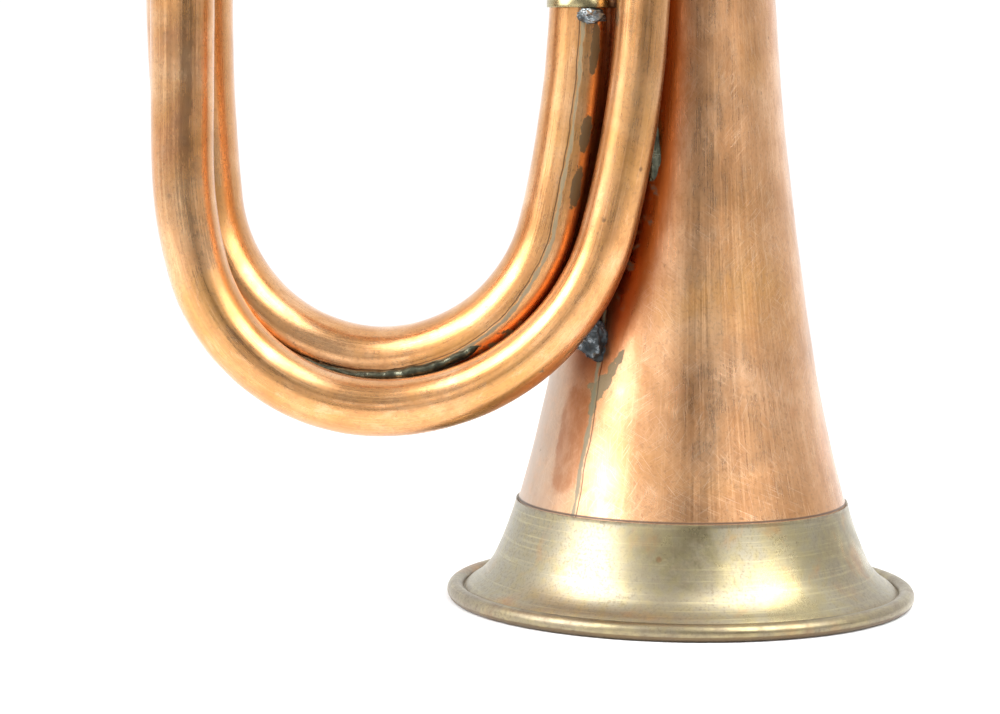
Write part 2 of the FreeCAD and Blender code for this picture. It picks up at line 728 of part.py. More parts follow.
def seam_point(turn):
    """A point of the seam's centre line, turn degrees round from straight down."""
    swing = math.radians(turn)
    outward = Vector(math.sin(swing), 0, -math.cos(swing))
    return seam_centre + outward * size("seam_bend_radius")


seam_start = seam_point(-seam_half)
seam_arc = Part.Arc(seam_start, seam_point(0.0), seam_point(seam_half))
seam_path = Part.Wire([seam_arc.toShape()])
seam_heading = Vector(math.cos(math.radians(seam_half)), 0,
                      -math.sin(math.radians(seam_half)))
seam_ring = Part.Wire([Part.makeCircle(size("seam_radius"), seam_start, seam_heading)])
seam = seam_path.makePipeShell([seam_ring], True, False)
solid_piece("bow_seam_solder", trimmed(seam, [near_tube, far_tube]))

# ---------------------------------------------------------------- lanyard eyelets and rings
ring_radius = size("ring_radius")
eyelet_wire = size("eyelet_wire_radius")
eyelet_turn = math.radians(size("eyelet_turn"))


def lanyard(name, side):
    """An eyelet on the outside of the second rear bow, and the ring that hangs in it.

    side is +1 for the bell's side and -1 for the other.
    """
    swing_out = rear_radius + size(name + "_eyelet_tube_radius")
    outward = rear_way * side
    surface = (far_left * 0.5 + outward * (swing_out * math.cos(eyelet_turn))
               + UP * (size("second_rear_spring_high") + swing_out * math.sin(eyelet_turn)))
    hole = surface + outward * size("eyelet_stand")
    loop = Part.makeTorus(size("eyelet_hole_radius") + eyelet_wire, eyelet_wire, hole,
                          UP.cross(rear_way))
    root = surface - outward * size("eyelet_foot_depth")
    foot = Part.makeCylinder(size("eyelet_foot_radius"), size("eyelet_foot_length"), root,
                             outward)
    stem = Part.makeCylinder(eyelet_wire, size("eyelet_stem_length"), root, outward)
    eyelet = loop.fuse([foot, stem]).removeSplitter()
    ring = Part.makeTorus(ring_radius, size("ring_wire_radius"), hole - UP * ring_radius,
                          outward)
    solid_piece("lanyard_eyelet_" + name, trimmed(eyelet, [big_tube]))
    solid_piece("lanyard_ring_" + name, ring)


lanyard("left", -1)
lanyard("right", 1)

# ---------------------------------------------------------------- checks and files
doc.recompute()
for item in doc.Objects:
    bad = [state for state in item.State if state in ("Invalid", "Error")]
    assert not bad, "%s is %s" % (item.Label, bad)
os.makedirs("parts", exist_ok=True)
for item in subparts:
    assert not item.Shape.isNull() and item.Shape.isValid(), item.Label
    assert item.Shape.Volume > TINY, item.Label
    item.Shape.exportStep("parts/%s.step" % item.Label)
    print("%-22s solids %d  volume %9.2f" % (item.Label, len(item.Shape.Solids),
                                             item.Shape.Volume))
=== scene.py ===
import bmesh
import bpy
import math
import numpy as np
from mathutils import Matrix, Vector, noise


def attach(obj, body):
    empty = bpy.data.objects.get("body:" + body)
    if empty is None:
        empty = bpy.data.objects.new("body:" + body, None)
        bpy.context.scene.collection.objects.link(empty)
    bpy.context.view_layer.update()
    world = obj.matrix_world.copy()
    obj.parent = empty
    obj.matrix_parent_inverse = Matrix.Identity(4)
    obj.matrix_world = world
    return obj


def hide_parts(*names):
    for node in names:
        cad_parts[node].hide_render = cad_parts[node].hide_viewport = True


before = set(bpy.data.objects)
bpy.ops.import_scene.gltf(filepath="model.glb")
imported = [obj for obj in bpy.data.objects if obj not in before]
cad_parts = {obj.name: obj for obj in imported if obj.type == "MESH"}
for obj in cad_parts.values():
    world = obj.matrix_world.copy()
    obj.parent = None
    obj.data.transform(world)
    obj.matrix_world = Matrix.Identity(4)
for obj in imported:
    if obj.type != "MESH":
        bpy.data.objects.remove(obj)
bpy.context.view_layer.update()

# A copper duty bugle standing on its bell.  Lengths in the tables below are millimetres
# in the CAD model's frame; every mesh is made in metres.
MM = 0.001
TURN = 2 * math.pi
UP = (0.0, 0.0, 1.0)
COPPER_WALL = 0.6
BRASS_WALL = 0.5

# ---------------- the design's outlines
BELL_FOOT, BELL_WAIST, BELL_SHOULDER = (51.9, 3.56), (45.2, 10.77), (40.22, 24.45)
BELL_MIDDLE, BELL_THROAT = (28.5, 80.0), (18.9, 181.0)
BELL_LEAN = 15.3
GARLAND_FOOT, GARLAND_WAIST, GARLAND_TOP = (53.75, 3.3), (45.7, 11.0), (40.75, 24.6)
GARLAND_LEAN = 15.6
BEAD_OUT, BEAD_HIGH, BEAD_RADIUS = 55.4, 2.05, 2.1

NEAR_RIGHT, NEAR_LEFT = (-9.9, -29.0), (-118.9, -29.0)
FAR_RIGHT, FAR_LEFT = (-24.6, -18.3), (-120.8, -9.2)
BELL_AXIS = (0.0, 0.0)
NEAR_JOINTS, FAR_JOINTS = (159.0, 160.0), (180.0, 154.0)
NEAR_POINTS = [(-109.0, 109.9), (-105.5, 82.8), (-62.4, 49.4), (-7.75, 92.35)]
FAR_BEND_HIGH, FAR_HEEL = 149.7, (3.1, 97.2)
FAR_RISE = (-6.35, 93.1)
FIRST_REAR_SPRING, SECOND_REAR_SPRING = 174.6, 190.0
NEAR_RADII, FAR_RADII = (7.7, 6.2), (10.9, 8.0)
THROAT_RADIUS = BELL_THROAT[0]
MOUTHPIPE_TOP, MOUTHPIPE_TOP_RADIUS = 262.0, 5.8
SLEEVE_WALL, SLEEVE_LENGTH = 0.45, 18.0
RIM_WIRE = 1.55
RING_RADIUS, RING_WIRE = 8.0, 1.0
EYELET_TURN, EYELET_STAND, EYELET_HOLE, EYELET_WIRE = 10.0, 4.4, 1.4, 1.0


# the turn of the bell that faces the camera's side of the frame
FRONT = -math.pi / 2


def unit(vector):
    return np.asarray(vector, float) / np.linalg.norm(vector)


def arc_run(start, heading, end, step=1.0):
    """The arc that leaves start along heading and reaches end, and its last heading."""
    start, end, heading = (np.asarray(each, float) for each in (start, end, heading))
    chord = end - start
    length = np.linalg.norm(chord)
    left = np.array([-chord[1], chord[0]]) / length
    lean = math.atan2(chord[0] * heading[1] - chord[1] * heading[0], chord @ heading)
    if abs(lean) < 1e-6:
        count = max(2, int(length / step))
        return [start + chord * k / count for k in range(count + 1)], heading
    radius = length / 2 / math.sin(lean)
    centre = start + chord / 2 - left * radius * math.cos(lean)
    count = max(6, int(abs(2 * radius * lean) / step))
    first = start - centre
    points = []
    for k in range(count + 1):
        swing = -2 * lean * k / count
        cosine, sine = math.cos(swing), math.sin(swing)
        points.append(centre + np.array([cosine * first[0] - sine * first[1],
                                         sine * first[0] + cosine * first[1]]))
    cosine, sine = math.cos(-2 * lean), math.sin(-2 * lean)
    return points, np.array([cosine * heading[0] - sine * heading[1],
                             sine * heading[0] + cosine * heading[1]])


def line_run(start, end, step=1.0):
    start, end = np.asarray(start, float), np.asarray(end, float)
    count = max(1, int(np.linalg.norm(end - start) / step))
    return [start + (end - start) * k / count for k in range(count + 1)]


def joined(*runs):
    """One list of points from runs that share their end points."""
    points = list(runs[0])
    for run in runs[1:]:
        points += list(run)[1:]
    return np.array(points)


def spun_outline(points, lean, pivot, step=1.0):
    """The outline of tangent arcs through points, leaning by lean degrees at points[pivot]."""
    slope = math.radians(lean)
    up = np.array([-math.sin(slope), math.cos(slope)])
    above, heading = [], up
    for start, end in zip(points[pivot:], points[pivot + 1:]):
        run, heading = arc_run(start, heading, end, step)
        above.append(run)
    below, heading = [], -up
    for start, end in zip(points[pivot::-1], points[pivot - 1::-1]):
        run, heading = arc_run(start, heading, end, step)
        below.insert(0, run[::-1])
    return joined(*below, *above)


def offset_outline(outline, distance):
    """The outline moved to its left by distance."""
    along = np.gradient(outline, axis=0)
    along /= np.linalg.norm(along, axis=1)[:, None]
    return outline + np.column_stack([-along[:, 1], along[:, 0]]) * distance


# ---------------- meshes
def grid_piece(name, rings, flow=None, sheet=None, fields=None, body="horn",
               crease=32.0, wrap=True):
    """A closed piece from rings of points that wrap both ways, like a ring of dough.

    Without wrap it is a rod: the first and the last ring are filled in instead.

    rings is (count, around, 3) in millimetres.  flow is a vector for each point: the
    distance along the metal's grain first.  sheet is (count, around + 1, 2), the same
    surface laid flat, and fields are named numbers for each point.
    """
    rings = np.asarray(rings, float)
    count, around = rings.shape[:2]
    mesh = bpy.data.meshes.new(name)
    one = np.arange(count)[:, None] * around
    two = (np.arange(count)[:, None] + 1) % count * around
    here = np.arange(around)[None, :]
    there = (here + 1) % around
    faces = np.stack([one + here, one + there, two + there, two + here], -1)
    if wrap:
        faces = faces.reshape(-1, 4).tolist()
    else:
        faces = faces[:-1].reshape(-1, 4).tolist()
        faces.append(list(range(around))[::-1])
        faces.append(list(range((count - 1) * around, count * around)))
    mesh.from_pydata((rings.reshape(-1, 3) * MM).tolist(), [], faces)
    if flow is not None:
        layer = mesh.attributes.new("flow", "FLOAT_VECTOR", "POINT")
        layer.data.foreach_set("vector", (np.asarray(flow) * MM).astype(np.float32).ravel())
    for field, values in (fields or {}).items():
        layer = mesh.attributes.new(field, "FLOAT", "POINT")
        layer.data.foreach_set("value", np.asarray(values, np.float32).ravel())
    if sheet is not None:
        wide = np.asarray(sheet, float) * MM
        below = np.roll(wide, -1, axis=0)
        corners = np.stack([wide[:, :-1], wide[:, 1:], below[:, 1:], below[:, :-1]], 2)
        layer = mesh.uv_layers.new(name="sheet")
        layer.data.foreach_set("uv", corners.astype(np.float32).ravel())
    mesh.validate()
    mesh.shade_smooth()
    mesh.set_sharp_from_angle(angle=math.radians(crease))
    return stood(name, mesh, body)


def stood(name, mesh, body):
    """The mesh as a piece of a body."""
    turn_outward(mesh)
    piece = bpy.data.objects.new(name, mesh)
    bpy.context.scene.collection.objects.link(piece)
    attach(piece, body)
    return piece


def turn_outward(mesh):
    """Turn the faces outward: a closed mesh's signed volume is then positive."""
    volume = 0.0
    for face in mesh.polygons:
        corners = [mesh.vertices[index].co for index in face.vertices]
        for second, third in zip(corners[1:], corners[2:]):
            volume += corners[0].dot(second.cross(third))
    if volume < 0:
        mesh.flip_normals()


def ripple(points, size, depth, seed):
    """Smooth noise in millimetres at each point, with features about size across."""
    shift = Vector((seed * 7.1, seed * 3.7, seed * 5.3))
    flat = np.asarray(points).reshape(-1, 3)
    values = [noise.noise(Vector(point) / size + shift) for point in flat]
    return np.array(values).reshape(np.asarray(points).shape[:-1]) * depth


def spin(outline, centre, around):
    """Rings of points from an outline of (radius, height), spun round an upright axis."""
    outline = np.asarray(outline, float)
    turn = np.arange(around) / around * TURN + math.pi / 2
    rings = np.empty((len(outline), around, 3))
    rings[..., 0] = centre[0] + outline[:, :1] * np.cos(turn)
    rings[..., 1] = centre[1] + outline[:, :1] * np.sin(turn)
    rings[..., 2] = outline[:, 1:]
    return rings, turn


def run_along(points):
    """Distance along a line of points, from its first."""
    steps = np.linalg.norm(np.diff(points, axis=0), axis=1)
    return np.concatenate([[0], np.cumsum(steps)])


def round_maps(run, turn, reach):
    """The flow and the sheet of a round surface, as if it had the radius reach all over."""
    flow = np.empty((len(run), len(turn), 3))
    flow[..., 0] = run[:, None]
    flow[..., 1] = reach * np.cos(turn)
    flow[..., 2] = reach * np.sin(turn)
    wide = np.empty((len(run), len(turn) + 1, 2))
    wide[..., 0] = run[:, None]
    wide[..., 1] = np.arange(len(turn) + 1) / len(turn) * TURN * reach
    return flow, wide


def finely(outline, step=0.8):
    """The same closed outline with more points on its long stretches."""
    points = []
    for start, end in zip(outline, list(outline[1:]) + [outline[0]]):
        points += line_run(start, end, step)[:-1]
    return np.array(points)


def lathe(name, outline, place, aim=UP, around=96, body="horn", crease=32.0):
    """A turned piece from a closed outline of (radius, height along aim from place)."""
    outline = np.asarray(outline, float)
    rings, turn = spin(outline, (0.0, 0.0), around)
    flow, wide = round_maps(run_along(outline), turn, outline[:, 0].mean())
    aim = unit(aim)
    side = unit(np.cross((0.0, 1.0, 0.0), aim))
    frame_axes = np.array([side, np.cross(aim, side), aim])
    rings = rings @ frame_axes + np.asarray(place, float)
    return grid_piece(name, rings, flow, wide, body=body, crease=crease)


WIRE_SIDES = 24


def hoop(name, centre, facing, radius, wire, body="horn", around=160, wobble=0.0,
         seed=1):
    """A ring of round wire whose hole faces along facing."""
    facing = unit(facing)
    side = unit(np.cross(UP, facing))
    up = np.cross(facing, side)
    big = (np.arange(around) / around * TURN)[:, None, None]
    small = (np.arange(WIRE_SIDES) / WIRE_SIDES * TURN)[None, :, None]
    spoke = side * np.cos(big) + up * np.sin(big)
    middle = np.asarray(centre, float) + spoke * radius
    rings = middle + (spoke * np.cos(small) + facing * np.sin(small)) * wire
    if wobble:
        shrink = 1 + (ripple(rings, 3.0, wobble, seed) - wobble / 2)[..., None] / wire
        rings = middle + (rings - middle) * np.minimum(shrink, 1.0)
    flow = np.empty_like(rings)
    flow[..., 0] = big[..., 0] * radius
    flow[..., 1] = np.cos(small[..., 0]) * wire
    flow[..., 2] = np.sin(small[..., 0]) * wire
    return grid_piece(name, rings, flow, body=body)


def lump(name, centre, axes, rough, seed, flat):
    """An uneven blob of solder: axes are its three half widths as vectors.

    rough is the depth of its swellings and flat the depth of its facets.
    """
    mesh = bpy.data.meshes.new(name)
    ball = bmesh.new()
    bmesh.ops.create_icosphere(ball, subdivisions=5, radius=1.0)
    shift = Vector((seed * 3.1, seed * 1.7, seed * 2.3))
    axes = [Vector(axis) for axis in axes]
    for corner in ball.verts:
        way = corner.co.normalized()
        swell = 1 + rough * (noise.noise(way * 1.6 + shift)
                             + 0.5 * noise.noise(way * 4.0 + shift))
        swell -= flat * noise.cell(way * 2.2 + shift)
        spot = Vector(centre)
        for part, axis in zip(way, axes):
            spot += axis * (part * swell)
        corner.co = spot * MM
    ball.to_mesh(mesh)
    ball.free()
    mesh.shade_smooth()
    return stood(name, mesh, "horn")


# ---------------- bent tubes
def front_line(spacing, points, left_high, right_high):
    """A front bow's centre line in its own plane, from the left leg to the right."""
    heading = np.array([0.0, -1.0])
    runs = [line_run((-spacing, left_high), points[0])]
    for start, end in zip(points, points[1:]):
        run, heading = arc_run(start, heading, end)
        runs.append(run)
    last = np.asarray(points[-1], float)
    lean = math.atan2(heading[0], heading[1])
    radius = (0.0 - last[0]) / (1 - math.cos(lean))
    foot = (0.0, last[1] + radius * math.sin(lean))
    run, heading = arc_run(last, heading, foot)
    return joined(*runs, run, line_run(foot, (0.0, right_high)))


def rear_line(spacing, spring, left_low, right_low):
    """A rear bow's centre line in its own plane: two legs and the half circle they spring."""
    left_top, right_top = (-spacing, spring), (0.0, spring)
    crown = (-spacing / 2, spring + spacing / 2)
    first, heading = arc_run(left_top, (0.0, 1.0), crown)
    second, heading = arc_run(crown, heading, right_top)
    return joined(line_run((-spacing, left_low), left_top), first, second,
                  line_run(right_top, (0.0, right_low)))


def placed(line, right_leg, left_leg):
    """A plane centre line stood up between two legs."""
    reach = unit(np.subtract(right_leg, left_leg))
    points = np.empty((len(line), 3))
    points[:, 0] = right_leg[0] + line[:, 0] * reach[0]
    points[:, 1] = right_leg[1] + line[:, 0] * reach[1]
    points[:, 2] = line[:, 1]
    across = np.array([reach[1], -reach[0], 0.0])
    return points, across


# points measured at a time, to save memory
BATCH = 4096


class Tube:
    """A cone bent along a plane centre line.

    across is the unit vector square to the plane, towards the player's left.  Points
    round the tube are counted from its back, so the seam of the sheet is hidden.
    """

    def __init__(self, points, across, left_radius, right_radius, around=80):
        self.points = points
        self.across = across
        self.run = run_along(points)
        self.length = self.run[-1]
        self.radius = left_radius + (right_radius - left_radius) * self.run / self.length
        along = np.gradient(points, axis=0)
        self.along = along / np.linalg.norm(along, axis=1)[:, None]
        self.outer = np.cross(self.along, across)
        self.turn = np.arange(around) / around * TURN

    def rings(self, radius):
        """Rings of the given radius; turn 0 is the back and a quarter is self.outer."""
        cosine, sine = np.cos(self.turn), np.sin(self.turn)
        way = (-self.across[None, None, :] * cosine[None, :, None]
               + self.outer[:, None, :] * sine[None, :, None])
        return self.points[:, None, :] + way * radius[..., None]

    def gap(self, points):
        """Distance from each point to the tube's outside."""
        flat = points.reshape(-1, 3)
        parts = []
        for start in range(0, len(flat), BATCH):
            part = flat[start:start + BATCH]
            away = np.linalg.norm(part[:, None] - self.points[None, ::2], axis=2)
            parts.append((away - self.radius[None, ::2]).min(1))
        return np.concatenate(parts).reshape(points.shape[:-1])


# the depths and widths of a hand-worked tube's dents, and how far from its ends they fade
WIDE_DENTS, SMALL_DENTS, DENT_FADE = (0.09, 13.0), (0.03, 5.0), 6.0
# the bore has one ring of points for this many outside
BORE_STEP = 6


def tube_piece(name, tube, fields, seed):
    """The tube's mesh: a rippled outside, a plain bore and flat ends."""
    shape = (len(tube.points), len(tube.turn))
    base = np.broadcast_to(tube.radius[:, None], shape)
    smooth = tube.rings(base)
    bumps = np.zeros(shape)
    for (depth, size), shift in ((WIDE_DENTS, 0), (SMALL_DENTS, 3)):
        bumps += ripple(smooth, size, depth, seed + shift) - depth / 2
    fade = np.minimum(tube.run, tube.length - tube.run) / DENT_FADE
    outside = tube.rings(base + bumps * np.clip(fade, 0, 1)[:, None])
    bore = np.arange(len(tube.points))[::-BORE_STEP]
    if bore[-1] != 0:
        bore = np.append(bore, 0)
    inside = tube.rings(base - COPPER_WALL)[bore]
    run = np.concatenate([tube.run, tube.run[bore]])
    flow, wide = round_maps(run, tube.turn, tube.radius.mean())
    values = {field: np.concatenate([make(smooth), make(inside)])
              for field, make in fields.items()}
    rings = np.concatenate([outside, inside])
    return grid_piece(name, rings, flow, wide, values)


near_spacing = NEAR_RIGHT[0] - NEAR_LEFT[0]
near_line = front_line(near_spacing, NEAR_POINTS, *NEAR_JOINTS)
near = Tube(*placed(near_line, NEAR_RIGHT, NEAR_LEFT), *NEAR_RADII)
far_spacing = math.dist(FAR_RIGHT, FAR_LEFT)
far_points = [(-far_spacing, FAR_BEND_HIGH), (FAR_HEEL[0] - far_spacing, FAR_HEEL[1]),
              FAR_RISE]
far = Tube(*placed(front_line(far_spacing, far_points, *FAR_JOINTS), FAR_RIGHT, FAR_LEFT),
           *FAR_RADII, around=96)
first_rear_line = rear_line(math.dist(FAR_RIGHT, NEAR_LEFT), FIRST_REAR_SPRING,
                            NEAR_JOINTS[0], FAR_JOINTS[1])
first_rear = Tube(*placed(first_rear_line, FAR_RIGHT, NEAR_LEFT), NEAR_RADII[0],
                  FAR_RADII[1])
second_rear_line = rear_line(math.dist(BELL_AXIS, FAR_LEFT), SECOND_REAR_SPRING,
                             FAR_JOINTS[0], BELL_THROAT[1])
second_rear = Tube(*placed(second_rear_line, BELL_AXIS, FAR_LEFT), FAR_RADII[0],
                   THROAT_RADIUS, around=128)
pipe_line = np.array(line_run((0.0, NEAR_JOINTS[1]), (0.0, MOUTHPIPE_TOP)))
pipe_points = np.column_stack([pipe_line[:, 0] + NEAR_RIGHT[0],
                               pipe_line[:, 0] + NEAR_RIGHT[1], pipe_line[:, 1]])
mouthpipe = Tube(pipe_points, np.array([0.0, -1.0, 0.0]), NEAR_RADII[1],
                 MOUTHPIPE_TOP_RADIUS, around=64)

bell_outline = spun_outline([BELL_FOOT, BELL_WAIST, BELL_SHOULDER, BELL_MIDDLE,
                             BELL_THROAT], BELL_LEAN, 2, 1.2)


def bell_radius(high):
    """The bell's outer radius at a height."""
    return np.interp(high, bell_outline[:, 1], bell_outline[:, 0])


def bell_gap(points):
    """Distance from each point to the bell's outside."""
    reach = np.hypot(points[..., 0], points[..., 1])
    return reach - bell_radius(points[..., 2])


def crevice(gap, width):
    """1 where two surfaces meet, falling to 0 over about width millimetres."""
    return np.exp(-np.clip(gap, 0, None) / width)


# ---------------- materials
class Nodes:
    """Shorthand for building a node tree."""

    def __init__(self, tree):
        self.tree = tree

    def put(self, kind, inputs=None, **settings):
        """A new node with its settings, and with its inputs linked or set."""
        node = self.tree.nodes.new(kind)
        for name, value in settings.items():
            setattr(node, name, value)
        for socket, value in (inputs or {}).items():
            self.feed(node.inputs[socket], value)
        return node

    def feed(self, socket, value):
        """Link a socket to another, or set it to a plain value."""
        if isinstance(value, bpy.types.NodeSocket):
            self.tree.links.new(value, socket)
        elif value is not None:
            socket.default_value = value

    def work(self, operation, first, second=None, clamp=False):
        node = self.put("ShaderNodeMath", {0: first, 1: second}, operation=operation,
                        use_clamp=clamp)
        return node.outputs[0]

    def plus(self, first, second, clamp=False):
        return self.work("ADD", first, second, clamp)

    def less(self, first, second, clamp=False):
        return self.work("SUBTRACT", first, second, clamp)

    def times(self, first, second):
        return self.work("MULTIPLY", first, second)

    def most(self, first, second):
        return self.work("MAXIMUM", first, second)

    def off(self, value, middle):
        """How far a value is from the middle, either way."""
        return self.work("ABSOLUTE", self.less(value, middle))

    def fade(self, value, low, high, to_low=0.0, to_high=1.0, kind="SMOOTHSTEP"):
        """Map low..high to to_low..to_high, smoothly unless kind says otherwise."""
        span = {"Value": value, "From Min": low, "From Max": high, "To Min": to_low,
                "To Max": to_high}
        return self.put("ShaderNodeMapRange", span, interpolation_type=kind).outputs[0]

    def ramp(self, value, *stops):
        """Colours at places from 0 to 1, and the one at value."""
        node = self.put("ShaderNodeValToRGB", {0: value})
        row = node.color_ramp.elements
        row[0].position, row[0].color = stops[0]
        row[1].position, row[1].color = stops[-1]
        for position, colour in stops[1:-1]:
            row.new(position).color = colour
        return node.outputs[0]


class Paint(Nodes):
    """The nodes of one material."""

    def __init__(self, name, **sockets):
        self.material = bpy.data.materials.new(name)
        self.material.use_nodes = True
        super().__init__(self.material.node_tree)
        self.shader = self.tree.nodes["Principled BSDF"]
        for socket, value in sockets.items():
            self.shader.inputs[socket.replace("_", " ")].default_value = value

    def field(self, name, part="Fac"):
        return self.put("ShaderNodeAttribute", attribute_name=name).outputs[part]

    def sheet(self):
        return self.put("ShaderNodeUVMap", uv_map="sheet").outputs[0]

    def place(self):
        return self.put("ShaderNodeTexCoord").outputs["Object"]

    def stretch(self, vector, scale, turn=0.0, shift=(0.0, 0.0, 0.0)):
        return self.put("ShaderNodeMapping", {
            "Vector": vector, "Scale": scale, "Rotation": (0.0, 0.0, turn),
            "Location": shift}).outputs[0]

    def turned(self, vector, turn, scale):
        """Rotate a flat coordinate first and then stretch it."""
        return self.stretch(self.stretch(vector, (1.0, 1.0, 1.0), turn), scale)

    def noise(self, vector, scale=1.0, detail=3.0, rough=0.5, bend=0.0):
        return self.put("ShaderNodeTexNoise", {
            "Vector": vector, "Scale": scale, "Detail": detail, "Roughness": rough,
            "Distortion": bend}).outputs["Fac"]

    def spots(self, vector, scale, small, large, rare, common):
        """1 in scattered round spots that fade from small to large; rare is their rarity."""
        node = self.put("ShaderNodeTexVoronoi", {"Vector": vector, "Scale": scale})
        apart = self.put("ShaderNodeSeparateColor", {0: node.outputs["Color"]})
        return self.times(self.fade(node.outputs["Distance"], small, large, 1.0, 0.0),
                          self.fade(apart.outputs[0], rare, common))

    def layered(self, tone, *layers):
        """The tone with other colours over it, each as strong as its mask says."""
        for mask, colour in layers:
            node = self.put("ShaderNodeMix", {"Factor": mask, 6: tone, 7: colour},
                            data_type="RGBA")
            tone = node.outputs[2]
        return tone

    def emboss(self, height, strength, distance):
        bump = self.put("ShaderNodeBump", {"Strength": strength, "Distance": distance,
                                           "Height": height})
        self.feed(self.shader.inputs["Normal"], bump.outputs[0])

    def finish(self, colour, roughness):
        self.feed(self.shader.inputs["Base Color"], colour)
        self.feed(self.shader.inputs["Roughness"], roughness)
        return self.material


def rgb(red, green, blue):
    """A colour given as it looks on screen, from 0 to 255."""
    values = []
    for level in (red, green, blue):
        share = level / 255
        linear = share / 12.92 if share <= 0.04045 else ((share + 0.055) / 1.055) ** 2.4
        values.append(linear)
    return (*values, 1.0)


# a scratch in the bell's copper, in metres
SCRATCH_LENGTH, SCRATCH_WIDTH = 0.007, 0.00016


def scratches(paint, sheet, flow, turns, share):
    """Hairlines in several directions: 1 where a scratch is, in scuffed areas only."""
    found = None
    for index, turn in enumerate(turns):
        stretch = (1.0 / SCRATCH_LENGTH, 1.0 / SCRATCH_WIDTH, 1.0)
        line = paint.noise(paint.turned(sheet, turn, stretch), 1.0, 1.0, 0.4)
        line = paint.fade(line, 0.63, 0.72)
        area = paint.noise(paint.stretch(flow, (1.0, 1.0, 1.0), 0.0,
                                         (0.3 * index, 0.7, 0.1)), 45.0, 2.0)
        line = paint.times(line, paint.fade(area, 0.62 - share, 0.8 - share))
        found = line if found is None else paint.most(found, line)
    return found


def brazed(paint, flow, across, seam, ragged):
    """Masks for a brazed seam at a place across the sheet, and for the crack beside it."""
    wander = paint.fade(paint.noise(flow, 90.0, 3.0), 0.2, 0.8, -0.0004, 0.0004)
    aside = paint.less(paint.plus(across, wander), seam)
    spill = paint.plus(paint.work("ABSOLUTE", aside), paint.times(ragged, 0.0007))
    crack = paint.fade(paint.off(aside, 0.0009), 0.00008, 0.0002, 0.75, 0.0)
    return paint.fade(spill, 0.0003, 0.0006, 1.0, 0.0), crack


